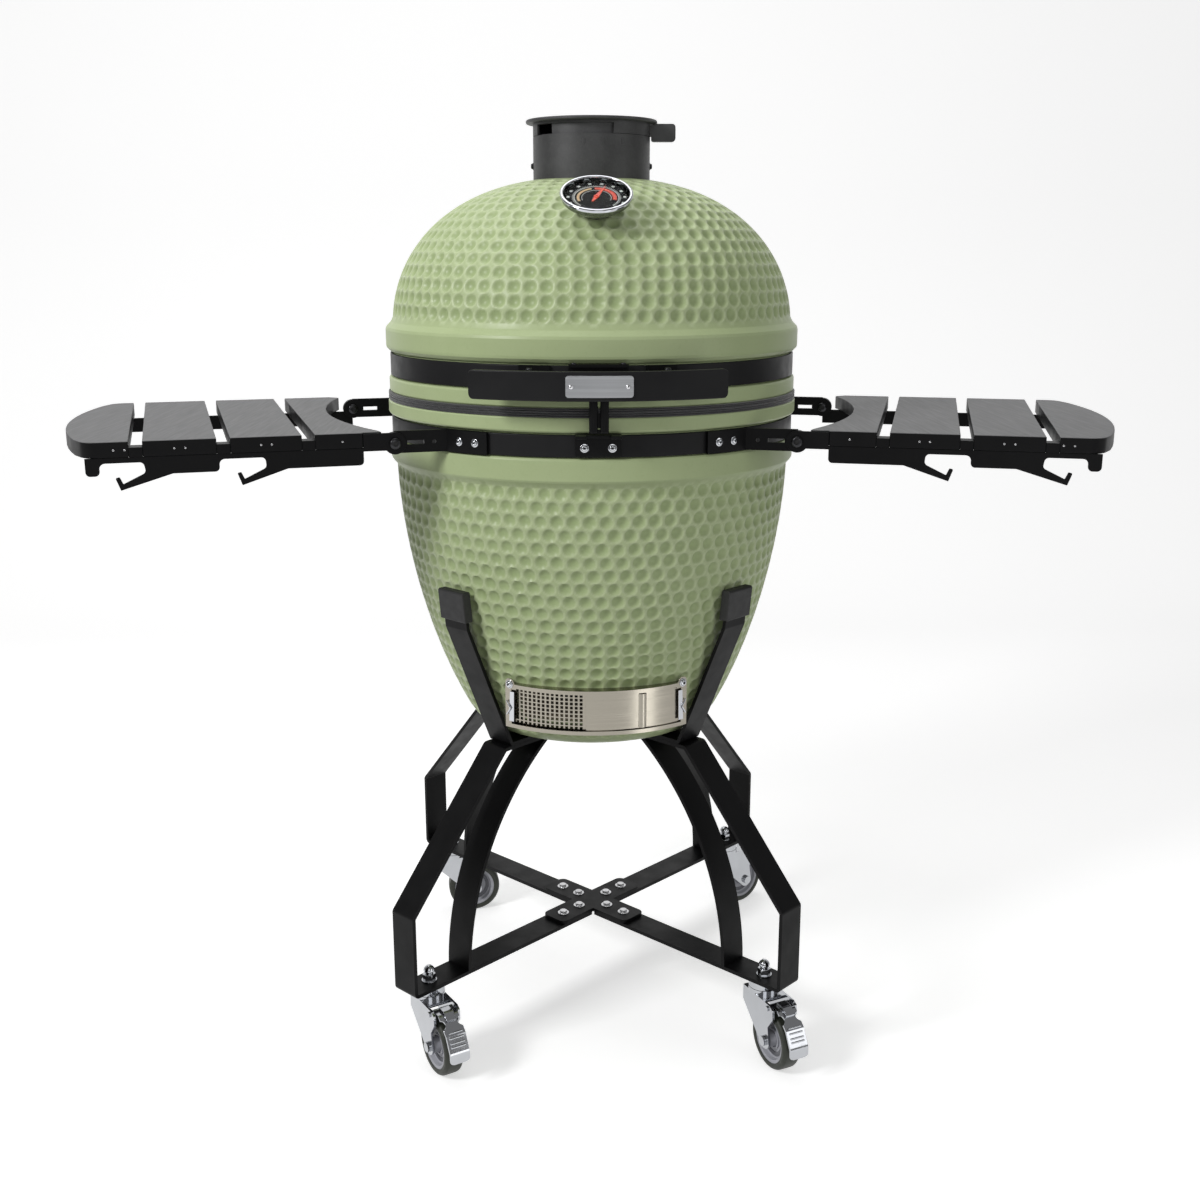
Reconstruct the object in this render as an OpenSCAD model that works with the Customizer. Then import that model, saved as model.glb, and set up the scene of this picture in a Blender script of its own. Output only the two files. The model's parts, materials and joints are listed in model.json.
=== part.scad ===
// Ceramic charcoal grill on a wheeled steel stand, with two folding slatted side shelves.
// Millimetres. +Z is up, the front faces -Y, the floor is z = 0, and x = y = 0 is the axis of
// the ceramic body.

/* [Ceramic body] */
// Radius of the ceramic where the dome and the bowl meet the bands
ceramic_r = 257; // [256:0.5:258]
// Thickness of the dome's wall
dome_wall = 26; // [24:1:28]
// Thickness of the bowl's wall
bowl_wall = 28; // [26:1:30]
// Height of the joint between the two gaskets
joint_z = 847.5; // [847:0.5:848]
// Height of the underside of the bowl
bowl_bottom_z = 407; // [407:0.5:408]
// Radius of the chimney passage through the dome
chimney_bore_r = 58; // [54:1:60]

/* [Bands and hinge] */
// Outer radius of the steel bands
band_r = 262; // [261.5:0.5:262]
// Distance of the hinge pin behind the body's axis
hinge_y = 298; // [297:1:300]
// Height of the hinge pin
hinge_z = 850; // [849:0.5:851]
// Radius of the hinge pin
hinge_pin_r = 6; // [5:0.5:6.5]

/* [Front of the lid] */
// Outer radius of the curved handle bar
handle_r = 308; // [306:1:310]
// Height of the handle bar
handle_h = 33; // [28:1:34]
// Angle that the handle bar covers each side of the centre
handle_half_angle = 28.5; // [24:0.5:30]
// Angle of the thermometer's face above the horizontal
thermo_tilt = 60; // [58:1:61]
// Radius of the thermometer's bezel
bezel_r = 42; // [38:1:44]

/* [Chimney] */
// Outer radius of the chimney
chimney_r = 74; // [72:1:76]
// Radius of the turning cap's disc
cap_r = 83; // [80:1:86]
// Height of the top of the fixed chimney wall
chimney_top_z = 1166; // [1160:1:1170]

/* [Draft vent] */
// Radius of the vent frame's curved face
vent_r = 178; // [178:1:180]
// Angle that the frame covers each side of the centre
vent_half_angle = 39.5; // [38:0.5:40]
// Lower edge of the vent frame
vent_z0 = 444; // [442:1:445]
// Height of the vent frame
vent_h = 57; // [54:1:57]

/* [Side shelves] */
// Forward sweep of each shelf
shelf_sweep = 15; // [12:1:16]
// Height of the slats' top face
shelf_top_z = 822; // [822:1:824]
// Thickness of a slat
slat_t = 18; // [16:1:18]
// Width of a slat
slat_w = 80; // [76:1:82]
// Distance from one slat to the next
slat_pitch = 95; // [92:1:96]
// Distance of the fold pivots from the body's axis
pivot_u = 285; // [284:1:286]
// Radius of the curved ends of a shelf
shelf_arc_r = 560; // [520:10:600]

/* [Stand] */
// Width of the flat bar that the stand is made of
bar_w = 40; // [36:1:42]
// Thickness of the flat bar
bar_t = 5; // [4:0.5:6]
// Diagonal distance of the legs' outer face from the axis
leg_r = 347; // [345:1:350]
// Height of the underside of the braces
brace_z = 108; // [108:1:109]
// Height of the knee in each leg
knee_z = 219; // [210:1:230]
// Diagonal distance of the caster stems from the axis
stem_d = 307; // [305:1:309]

/* [Casters] */
// Radius of a wheel
wheel_r = 40; // [39:0.5:40]
// Width of a tyre
tyre_w = 26; // [22:1:28]
// Distance of the axle behind the swivel axis
trail = 33; // [32:1:34]

/* [Hidden] */
$fn = 64;

// Clearances: between bodies that pass each other, round a running pin, and between fixed pieces.
gap = 0.5;
pin_gap = 0.05;
seat_gap = 0.2;

// Colours
SAGE = [0.62, 0.70, 0.50];
BLACK = [0.10, 0.10, 0.10];
CAST = [0.22, 0.22, 0.23];
STEEL = [0.75, 0.74, 0.70];
CHROME = [0.85, 0.86, 0.88];
FELT = [0.13, 0.13, 0.14];
SLAT = [0.30, 0.30, 0.30];
CLAY = [0.72, 0.64, 0.52];
RUBBER = [0.17, 0.18, 0.15];
HUB = [0.66, 0.67, 0.70];
RED = [0.85, 0.25, 0.15];

// Ceramic profile heights
dome_z0 = 935;
dome_rise = 183;
neck_r = chimney_r + 2;
lid_band_z = [873, 901];
base_band_z = [796, 822];
rim_r = band_r + 3.5;
gasket_t = 5.3;
seat_r = band_r - 4.5;
bowl_z0 = 765;
bowl_drop = 472;
foot_arc_r = 40;
foot_flat_r = 134;
foot_arc_start = 27.5;
floor_z = bowl_bottom_z + 30;
floor_r = 147;
inner_drop = 450;

// Outline of the dome, a rounded superellipse: a = 0 at its foot and 90 at its crown.
function dome_pt(r, rise, a) = [r * pow(cos(a), 0.8), dome_z0 + rise * sin(a)];
function dome_arc(r, rise, a0, a1, n) = [for (i = [0:n]) dome_pt(r, rise, a0 + (a1 - a0) * i / n)];
// Angle at which that outline has come in to radius q.
function dome_angle(r, q) = acos(pow(q / r, 1.25));
// Outline of the bowl, which narrows faster towards its foot.
function bowl_pt(r, drop, a) = [r * cos(a), bowl_z0 - drop * pow(sin(a), 1.176)];
function bowl_arc(r, drop, a0, a1, n) = [for (i = [0:n]) bowl_pt(r, drop, a0 + (a1 - a0) * i / n)];
// An arc of points, and a strip of thickness t along a path, on its left side.
function arc(c, r, a0, a1, n) =
    [for (i = [0:n]) c + r * [cos(a0 + (a1 - a0) * i / n), sin(a0 + (a1 - a0) * i / n)]];
function reversed(p) = [for (i = [len(p) - 1:-1:0]) p[i]];
function unit(v) = v / norm(v);
function left_of(v) = [-v[1], v[0]];
function side_at(p, i) = let (
    a = left_of(unit(p[max(i, 1)] - p[max(i, 1) - 1])),
    b = left_of(unit(p[min(i + 1, len(p) - 1)] - p[min(i + 1, len(p) - 1) - 1])),
    m = i == 0 ? b : i == len(p) - 1 ? a : a + b
) m / (m * (i == 0 ? b : a));
function strip(p, t) = concat(p, reversed([for (i = [0:len(p) - 1]) p[i] + t * side_at(p, i)]));
// A path with its inner corners rounded to radius r.
function rounded_corner(a, b, c, r) = let (
    u = unit(a - b), v = unit(c - b), half = acos(u * v) / 2, d = r / tan(half),
    o = b + unit(u + v) * r / sin(half), s = b + u * d - o, e = b + v * d - o,
    turn = s[0] * e[1] - s[1] * e[0] > 0 ? 1 : -1, sweep = 180 - 2 * half,
    start = atan2(s[1], s[0])
) arc(o, r, start, start + turn * sweep, 4);
function rounded_path(p, r) = [
    for (i = [0:len(p) - 1])
        for (q = i == 0 || i == len(p) - 1 ? [p[i]] : rounded_corner(p[i - 1], p[i], p[i + 1], r)) q
];
// A closed outline with every corner rounded to radius r.
function rounded_outline(p, r) = let (n = len(p)) [
    for (i = [0:n - 1]) for (q = rounded_corner(p[(i + n - 1) % n], p[i], p[(i + 1) % n], r)) q
];
function box_outline(x0, y0, x1, y1) = [[x0, y0], [x1, y0], [x1, y1], [x0, y1]];

// A plate: its outline lies in the XZ plane and it is t thick, centred on y = 0.
module plate_xz(outline, t) {
    rotate([90, 0, 0]) linear_extrude(height = t, center = true) polygon(outline);
}

// A plate whose outline lies in the YZ plane, t thick, centred on x = 0.
module plate_yz(outline, t) {
    rotate([90, 0, 90]) linear_extrude(height = t, center = true) polygon(outline);
}

// A ring with a rectangular section.
module ring(r0, r1, z0, z1) {
    rotate_extrude() polygon(box_outline(r0, z0, r1, z1));
}

// Part of such a ring, from angle a0 to a1 about +Z.
module ring_part(r0, r1, z0, z1, a0, a1) {
    rotate([0, 0, a0]) rotate_extrude(angle = a1 - a0) polygon(box_outline(r0, z0, r1, z1));
}

// A cylinder along +X or +Y between two coordinates.
module rod_x(r, x0, x1, y, z) {
    translate([x0, y, z]) rotate([0, 90, 0]) cylinder(r = r, h = x1 - x0);
}

module rod_y(r, y0, y1, x, z) {
    translate([x, y0, z]) rotate([-90, 0, 0]) cylinder(r = r, h = y1 - y0);
}

/* ---- Ceramic body ---- */

dome_top_a = dome_angle(ceramic_r, neck_r);
dome_top_z = dome_pt(ceramic_r, dome_rise, dome_top_a)[1];
inner_rise = dome_rise - dome_wall;
inner_dome_r = ceramic_r - dome_wall;
lid_inner_r = band_r - 27;
lid_rim_z = joint_z + gasket_t - gap / 2;

module dome_lid() {
    outer = concat(
        [[rim_r - 4, lid_rim_z], [rim_r - 2, lid_rim_z + 2], [rim_r - 2, lid_band_z[0] - 2],
         [seat_r, lid_band_z[0] - 1], [seat_r, lid_band_z[1] + 1], [ceramic_r + 5, 904],
         [ceramic_r + 9, 908], [ceramic_r + 9.5, 911], [ceramic_r + 9.5, 930],
         [ceramic_r + 8.5, 933], [ceramic_r + 2, 940]],
        dome_arc(ceramic_r, dome_rise, 3, dome_top_a, 22));
    inner = concat(
        dome_arc(inner_dome_r, inner_rise, 0, dome_angle(inner_dome_r, chimney_bore_r), 14),
        [[chimney_bore_r, dome_top_z]]);
    color(SAGE) difference() {
        rotate_extrude() polygon(concat(outer, reversed(inner), [[lid_inner_r, lid_rim_z]]));
        at_thermometer() translate([0, 0, -60]) cylinder(r = 5, h = 80);
    }
}

module upper_gasket() {
    color(FELT) ring(lid_inner_r + 2, rim_r, joint_z, lid_rim_z);
}

module lower_gasket() {
    color(FELT) ring(lid_inner_r + 2, rim_r, joint_z - gap / 2 - gasket_t, joint_z - gap);
}

module lid_band() {
    color(BLACK) ring(seat_r + seat_gap, band_r - 0.5, lid_band_z[0], lid_band_z[1]);
}

module base_band() {
    color(BLACK) ring(seat_r + seat_gap, band_r, base_band_z[0], base_band_z[1]);
}

// Outline of the outside of the bowl, from its rim down to the flat underside.
base_rim_z = joint_z - gap / 2 - gasket_t;
bowl_foot_a = 48.4;
bowl_outer = concat(
    [[rim_r - 1, base_rim_z], [rim_r, base_rim_z - 1.5], [rim_r, 827], [rim_r - 1.5, 825],
     [seat_r, base_band_z[1] + 1], [seat_r, base_band_z[0] - 1], [rim_r - 3, 794.5],
     [rim_r - 1.5, 792], [rim_r - 1.5, 767]],
    bowl_arc(ceramic_r, bowl_drop, 3, bowl_foot_a, 20),
    arc([foot_flat_r, bowl_bottom_z + foot_arc_r], foot_arc_r, -foot_arc_start - 6, -90, 7));

module bowl_filled() {
    rotate_extrude() polygon(concat(bowl_outer, [[0, bowl_bottom_z], [0, base_rim_z]]));
}

module fire_bowl() {
    inner_r = ceramic_r - bowl_wall;
    inner = concat(
        [[inner_r, base_rim_z]], bowl_arc(inner_r, inner_drop, 0, 48, 14), [[floor_r, floor_z]]);
    color(SAGE) difference() {
        rotate_extrude() polygon(concat(bowl_outer, [[0, bowl_bottom_z], [0, floor_z]],
            reversed(inner)));
        draft_hole(90, 240);
    }
}

// The way in for air, through the bowl's and the fire box's walls.
draft_half_angle = 30;
draft_z = [451, 494];
module draft_hole(r0, r1) {
    ring_part(r0, r1, draft_z[0], draft_z[1], -90 - draft_half_angle, -90 + draft_half_angle);
}

/* ---- Inside the bowl ---- */

box_gap = 7;
box_wall = 18;
box_top_z = 655;
ring_top_z = 800;
coal_grate_z = 500;
coal_grate_r = 112;
cook_grate_r = 221;

module fire_box() {
    r0 = ceramic_r - bowl_wall - box_gap;
    outer = [for (a = [18:5:43]) bowl_pt(r0, inner_drop, a)];
    inner = [for (a = [43:-5:18]) bowl_pt(r0 - box_wall, inner_drop, a)];
    foot_r = 138;
    color(CLAY) difference() {
        rotate_extrude() polygon(concat(
            [[outer[0][0], box_top_z]], outer, [[foot_r, floor_z], [95, floor_z],
             [95, coal_grate_z - 14], [coal_grate_r - 10, coal_grate_z],
             [coal_grate_r + 2, coal_grate_z]], inner, [[inner[5][0], box_top_z]]));
        translate([0, 0, 0.5]) draft_hole(80, 200);
        for (a = [45:90:315])
            rotate([0, 0, a]) translate([0, -10, coal_grate_z + 60]) cube([260, 20, 40]);
    }
}

module fire_ring() {
    outer_r = ceramic_r - bowl_wall - box_gap;
    color(CLAY) ring(outer_r - box_wall - 6, outer_r - 6, box_top_z + seat_gap, ring_top_z);
}

// Cast plate with radial slots, which holds the charcoal.
module charcoal_grate() {
    color(BLACK) difference() {
        translate([0, 0, coal_grate_z]) cylinder(r = coal_grate_r, h = 9);
        for (a = [0:20:340])
            rotate([0, 0, a]) translate([42, -3.5, coal_grate_z - 1]) cube([60, 7, 11]);
        for (a = [0:60:300])
            rotate([0, 0, a]) translate([14, -3, coal_grate_z - 1]) cube([20, 6, 11]);
    }
}

// Round grate: a rim, parallel bars and two stays below them.
module cooking_grate() {
    bar = 5;
    pitch = 17;
    count = 12;
    z = ring_top_z + bar;
    color(STEEL) {
        ring(cook_grate_r - 7, cook_grate_r, z - 1, z + bar);
        for (i = [-count:count]) {
            half = sqrt(pow(cook_grate_r - 4, 2) - pow(i * pitch, 2)) - 1;
            translate([i * pitch - bar / 2, -half, z]) cube([bar, 2 * half, bar - 1]);
        }
        for (s = [-1, 1]) {
            half = sqrt(pow(cook_grate_r - 4, 2) - pow(85, 2)) - 1;
            translate([-half, s * 85 - bar / 2, z - bar + 0.5]) cube([2 * half, bar, bar]);
        }
    }
}

/* ---- Draft vent ---- */

vent_y = -39;
vent_z1 = vent_z0 + vent_h;
sheet = 1.5;
door_r = vent_r - 1.3 - sheet;
screen_r = door_r - 0.8 - 1.2;

// The frame: four walls that stand on the bowl, with a lip round the front.
module vent_frame() {
    color(STEEL) difference() {
        translate([0, vent_y, 0]) difference() {
            ring_part(100, vent_r + sheet, vent_z0, vent_z1,
                -90 - vent_half_angle, -90 + vent_half_angle);
            ring_part(90, vent_r, vent_z0 + sheet, vent_z1 - sheet,
                -90 - vent_half_angle + 0.6, -90 + vent_half_angle - 0.6);
            ring_part(90, vent_r + 10, vent_z0 + 5, vent_z1 - 5,
                -90 - vent_half_angle + 3, -90 + vent_half_angle - 3);
        }
        translate([0, 0, -seat_gap]) scale(1.001) bowl_filled();
    }
}

door_half = vent_half_angle - 2;
door_edge_a = 4.5;
module draft_door() {
    z0 = vent_z0 + sheet + gap;
    z1 = vent_z1 - sheet - gap;
    color(STEEL) translate([0, vent_y, 0])
        ring_part(door_r, door_r + sheet, z0, z1, -90 - door_edge_a, -90 + door_half);
}

// Perforated sheet on the left, behind the door's path.
hole_cols = 15;
hole_rows = 9;
hole_w = 3.7;
module ash_screen() {
    z0 = vent_z0 + sheet + gap;
    z1 = vent_z1 - sheet - gap;
    step_a = (door_half - door_edge_a - 3) / hole_cols;
    step_z = (z1 - z0 - 6) / hole_rows;
    color(STEEL) translate([0, vent_y, 0]) difference() {
        ring_part(screen_r, screen_r + 1.2, z0, z1, -90 - door_half, -89.5 - door_edge_a);
        for (i = [0:hole_cols - 1], k = [0:hole_rows - 1])
            rotate([0, 0, -90 - door_half + 2 + (i + 0.5) * step_a])
                translate([screen_r - 5, -hole_w / 2, z0 + 3 + (k + 0.5) * step_z - hole_w / 2])
                    cube([12, hole_w, hole_w]);
    }
}

/* ---- Chimney ---- */

collar_inner_r = chimney_r - 8;
window_r = chimney_r - 3.2;
cap_z = chimney_top_z + 16;
bridge_z = chimney_top_z + 4;
cap_pin_r = 4;
bridge_a = 105;
// Windows of the chimney and of its cap: where each starts and the angle that it covers.
collar_window_a = 165;
collar_window = 60;
cap_window_a = 203;
cap_window = 87;

module chimney_collar() {
    color(CAST) {
        difference() {
            union() {
                ring(collar_inner_r, chimney_r, dome_top_z + 0.2, chimney_top_z);
                ring(collar_inner_r, window_r, chimney_top_z - 1, cap_z - 1.5);
                ring(chimney_bore_r - 5, chimney_r - 1, dome_top_z + 0.2, dome_top_z + 4);
                ring(chimney_bore_r - 5, chimney_bore_r - 0.5, dome_top_z - 18, dome_top_z + 1);
                rotate([0, 0, bridge_a]) translate([-collar_inner_r - 1, -7, bridge_z])
                    cube([2 * collar_inner_r + 2, 14, 6]);
            }
            for (a = [collar_window_a, collar_window_a + 180])
                ring_part(collar_inner_r - 1, chimney_r, chimney_top_z + 1, cap_z - 3, a,
                    a + collar_window);
            translate([0, 0, bridge_z - 1]) cylinder(r = cap_pin_r + pin_gap, h = 10);
        }
    }
}

module vent_cap() {
    skirt_r = window_r + gap;
    crown = arc([0, cap_z + 8 - 865], 865, 90 - asin((cap_r - 1) / 865), 90, 8);
    tab = rounded_outline(box_outline(chimney_r + 2, cap_z - 21, chimney_r + 32, cap_z + 0.5), 4);
    color(CAST) {
        difference() {
            ring(skirt_r, chimney_r, chimney_top_z + gap, cap_z + 1);
            for (a = [cap_window_a, cap_window_a + 180])
                ring_part(skirt_r - 2, chimney_r + 2, chimney_top_z, cap_z - 3, a, a + cap_window);
        }
        rotate_extrude() polygon(concat([[0, cap_z], [cap_r - 1, cap_z], [cap_r, cap_z + 1.2],
            [cap_r, cap_z + 2.8]], crown));
        plate_xz(tab, 12);
        translate([0, 0, bridge_z - 3]) cylinder(r = cap_pin_r, h = cap_z - bridge_z + 4);
        translate([0, 0, bridge_z - 3]) cylinder(r = cap_pin_r + 4, h = 2.4);
    }
}

/* ---- Thermometer ---- */

thermo_r = 190;
thermo_z = dome_z0 + dome_rise * sqrt(1 - pow(thermo_r / ceramic_r, 2.5));
bezel_z = 27;
dial_z = 19;
glass_z = 24;
needle_z = 21;
needle_a = -24;

module at_thermometer() {
    translate([0, -thermo_r, thermo_z]) rotate([90 - thermo_tilt, 0, 0]) children();
}

module thermometer_case() {
    cup_r = bezel_r - 4;
    color(CHROME) at_thermometer() difference() {
        rotate_extrude() polygon([[0, 1.4], [10, 1.4], [19, 3.8], [bezel_r - 3, dial_z - 2],
            [bezel_r, dial_z], [bezel_r, bezel_z - 1.5], [bezel_r - 1.5, bezel_z], [0, bezel_z]]);
        translate([0, 0, dial_z]) cylinder(r = cup_r, h = bezel_z);
    }
}

module thermometer_dial() {
    r = bezel_r - 4 - seat_gap;
    color(BLACK) at_thermometer() {
        translate([0, 0, dial_z]) cylinder(r = r, h = 1);
        translate([0, 0, dial_z + 0.5]) cylinder(r = 1.2, h = glass_z - dial_z - 1);
    }
}

module thermometer_glass() {
    r = bezel_r - 4 - seat_gap;
    color([0.8, 0.9, 0.95, 0.3]) at_thermometer() translate([0, 0, glass_z])
        cylinder(r = r, h = 1.5);
}

module thermometer_needle() {
    tip = 29;
    color(RED) at_thermometer() rotate([0, 0, needle_a]) translate([0, 0, needle_z])
        difference() {
            linear_extrude(height = 0.8)
                polygon([[0, tip], [-2.6, 0], [-1, -12], [1, -12], [2.6, 0]]);
            translate([0, 0, -1]) cylinder(r = 1.2 + pin_gap, h = 3);
        }
}

module thermometer_probe() {
    color(STEEL) at_thermometer() translate([0, 0, -70]) cylinder(r = 3.2, h = 71.4);
}

/* ---- Handle, name plate and latch ---- */

handle_z0 = 865;
handle_t = 8;
bracket_a = 16;
latch_y = -287;
latch_z = 885;
latch_end_z = 827;
latch_pin_r = 3;

module handle_bar() {
    color(BLACK) ring_part(handle_r - handle_t, handle_r, handle_z0, handle_z0 + handle_h,
        -90 - handle_half_angle, -90 + handle_half_angle);
}

module handle_brackets() {
    lip = [[-266, 873], [-262, 873], [-262, 903], [-276, 903], [-276, 900], [-266, 900]];
    ear = rounded_outline([[-264, 876], [-264, 894], [latch_y - 6, 892], [latch_y - 6, 878]], 4);
    color(BLACK) {
        for (s = [-1, 1]) rotate([0, 0, s * bracket_a]) {
            translate([-6, -handle_r + handle_t + 0.2, handle_z0 + 8])
                cube([12, handle_r - handle_t - band_r, 22]);
            ring_part(band_r - 0.3, band_r + 3, lid_band_z[0], lid_band_z[1], -94, -86);
        }
        difference() {
            union() {
                plate_yz(lip, 68);
                for (s = [-1, 1]) translate([s * 19, 0, 0]) plate_yz(ear, 4);
            }
            rod_x(latch_pin_r + pin_gap, -40, 40, latch_y, latch_z);
        }
    }
}

// Curved blank plate with two rivets.
module name_plate() {
    half_a = 7;
    z_mid = handle_z0 + handle_h / 2;
    color(STEEL) {
        ring_part(handle_r + seat_gap, handle_r + 1.5, z_mid - 12, z_mid + 12, -90 - half_a,
            -90 + half_a);
        for (s = [-1, 1]) rotate([0, 0, s * (half_a - 1.1)])
            rod_y(2.6, -handle_r - 3, -handle_r - 1, 0, z_mid);
    }
}

// Two strips that hang from a pin behind the handle and end in a hook.
module lid_latch() {
    strip_h = latch_z + 6 - latch_end_z;
    color(BLACK) {
        rod_x(latch_pin_r, -23, 23, latch_y, latch_z);
        for (x = [-12, 3]) translate([x, latch_y - 3, latch_end_z]) cube([9, 6, strip_h]);
        translate([-12, latch_y - 3, latch_end_z + 8]) cube([24, 4, 14]);
        translate([-11, latch_y + 1, latch_end_z]) cube([22, 7, 4]);
    }
}

module latch_keeper() {
    plate = [[-266.5, 798], [-262.5, 798], [-262.5, 824], [-285, 824], [-285, 820.5],
        [-266.5, 820.5]];
    color(BLACK) difference() {
        plate_yz(plate, 53);
        translate([-14, -290, 815]) cube([28, 14, 12]);
    }
}

/* ---- Hinge at the back ---- */

knuckle_r = 12;
base_cheek_x = 42.5;
lid_cheek_x = 34.5;
cheek_t = 5;

module cheek(outline, x) {
    for (s = [-1, 1]) translate([s * x, 0, 0]) difference() {
        union() {
            plate_yz(outline, cheek_t);
            rod_x(knuckle_r, -cheek_t / 2, cheek_t / 2, hinge_y, hinge_z);
        }
        rod_x(hinge_pin_r + pin_gap, -cheek_t, cheek_t, hinge_y, hinge_z);
    }
}

module hinge_base() {
    outline = [[261, 797], [282, 797], [hinge_y + 10, hinge_z - 6], [hinge_y - 9, hinge_z + 2],
        [272, 822], [261, 822]];
    color(BLACK) {
        cheek(outline, base_cheek_x);
        ring_part(band_r + seat_gap, band_r + 4, base_band_z[0], base_band_z[1], 78, 102);
    }
}

module hinge_lid() {
    outline = [[262, 876], [262, 900], [292, 888], [hinge_y + 10, hinge_z + 6],
        [hinge_y - 11, hinge_z + 2], [276, 876]];
    color(BLACK) {
        cheek(outline, lid_cheek_x);
        ring_part(band_r - 0.3, band_r + 4, lid_band_z[0], lid_band_z[1], 80, 100);
    }
}

module hinge_pin() {
    end = base_cheek_x + cheek_t / 2 + 0.5;
    color(CHROME) {
        rod_x(hinge_pin_r, -end, end, hinge_y, hinge_z);
        for (s = [-1, 1])
            rod_x(hinge_pin_r + 3, s > 0 ? end - 0.2 : -end - 4, s > 0 ? end + 4 : 0.2 - end,
                hinge_y, hinge_z);
    }
}

// Each torsion spring is a tube of its coils' outer and inner size.
module hinge_springs() {
    color(STEEL) for (s = [-1, 1]) translate([s * 16, 0, 0]) difference() {
        rod_x(hinge_pin_r + 4.5, -13, 13, hinge_y, hinge_z);
        rod_x(hinge_pin_r + 1.5, -14, 14, hinge_y, hinge_z);
    }
}

/* ---- Bolts of the bands ---- */

// A bolt head on a cylinder of radius r, at angle a from the front.
module radial_bolt(a, r, z) {
    rotate([0, 0, a]) rod_y(5, -r - 4, -r, 0, z);
}

module lid_bolts() {
    color(CHROME) {
        for (s = [-1, 1]) {
            translate([s * 28, 0, 0]) rod_y(4, -269, -266, 0, 888);
            radial_bolt(s * (bracket_a + 3.4), band_r + 3, 887);
            radial_bolt(180 + s * 5, band_r + 4, 887);
            rod_x(4.5, s > 0 ? chimney_r : -chimney_r - 3, s > 0 ? chimney_r + 3 : -chimney_r, 0, 1131);
        }
    }
}

module base_bolts() {
    z = (base_band_z[0] + base_band_z[1]) / 2;
    color(CHROME) {
        for (s = [-1, 1]) {
            translate([s * 16, 0, 0]) rod_y(4, -270, -266.5, 0, 808);
            for (b = [2.4, 6.2]) radial_bolt(180 + s * b, band_r + 4, z);
        }
        both_sides() {
            for (a = [flange_front[1] - 4.5, flange_front[1] - 9.5, flange_rear[0] + 6.5,
                flange_rear[0] + 10.5])
                rotate([0, 0, a]) rod_x(4, band_r + 4.5, band_r + 8, 0, z);
            pivot_bolt(plate_front_v - rail_t, mount_front_v + mount_t);
            pivot_bolt(mount_rear_v, rail_rear_v + rail_t);
        }
    }
}

/* ---- Side shelves, drawn for the right side: x is outward (u) and y is backward (v) ---- */

pivot_z = 808;
pivot_r = 4;
rail_t = 4;
mount_t = 5;
plate_front_v = -146;
mount_front_v = -145.3;
rail_rear_v = 243;
mount_rear_v = 237.5;
shelf_v1 = 275;
shelf_mid_v = 64;
inner_u = 300;
slat_u0 = 297;
slat_front_v = plate_front_v - rail_t;
arm_end_u = 322;
rear_rail_u = 616;
arc_in_u = 337;
arc_out_u = 656;
tip_mid_v = 30;
tip_arc_r = 700;
eye_r = 13;
flange_front = [-46, -33];
flange_rear = [63, 76];

module right_side() {
    rotate([0, 0, -shelf_sweep]) children();
}

module left_side() {
    mirror([1, 0, 0]) right_side() children();
}

module both_sides() {
    right_side() children();
    left_side() children();
}

// A bolt through a fold pivot, from one outer face to the other, with a head and a nut.
module pivot_bolt(v0, v1) {
    rod_y(pivot_r, v0 - 1, v1 + 1, pivot_u, pivot_z);
    rod_y(8, v0 - 5, v0 - 0.4, pivot_u, pivot_z);
    rod_y(7, v1 + 0.4, v1 + 5, pivot_u, pivot_z);
}

module slats() {
    z0 = shelf_top_z - slat_t;
    intersection() {
        union() for (i = [0:3])
            translate([slat_u0 + i * slat_pitch, slat_front_v, z0])
                cube([slat_w, shelf_v1 - slat_front_v, slat_t]);
        translate([0, 0, z0]) linear_extrude(height = slat_t)
            polygon(shelf_outline());
    }
}

// Plan of a whole shelf: hollow arc at the inner end, round arc at the outer end.
function arc_u(mid_u, mid_v, r, v) = mid_u - r + sqrt(pow(r, 2) - pow(v - mid_v, 2));
function edge_u(v) = arc_u(arc_in_u, shelf_mid_v, shelf_arc_r, v);
function tip_u(v) = arc_u(arc_out_u, tip_mid_v, tip_arc_r, v);
function shelf_outline() = let (
    v0 = slat_front_v, n = 12, r = 20,
    v_in0 = shelf_mid_v - 199, v_in1 = shelf_mid_v + 199,
    out0 = tip_u(v0), out1 = tip_u(shelf_v1)
) concat(
    [[inner_u, plate_front_v], [arm_end_u + gap, plate_front_v], [arm_end_u + gap, v0]],
    rounded_corner([arm_end_u + gap, v0], [out0 - 3, v0], [tip_u(v0 + 50), v0 + 50], r),
    [for (i = [0:n]) let (v = v0 + 34 + (shelf_v1 - v0 - 68) * i / n) [tip_u(v), v]],
    rounded_corner([tip_u(shelf_v1 - 50), shelf_v1 - 50], [out1 - 3, shelf_v1],
        [inner_u, shelf_v1], r),
    [[inner_u + 14, shelf_v1]],
    [for (i = [0:n]) let (v = v_in1 + (v_in0 - v_in1) * i / n) [edge_u(v) + 1, v]]);

module left_shelf_slats() {
    color(SLAT) left_side() slats();
}

module right_shelf_slats() {
    color(SLAT) right_side() slats();
}

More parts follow.
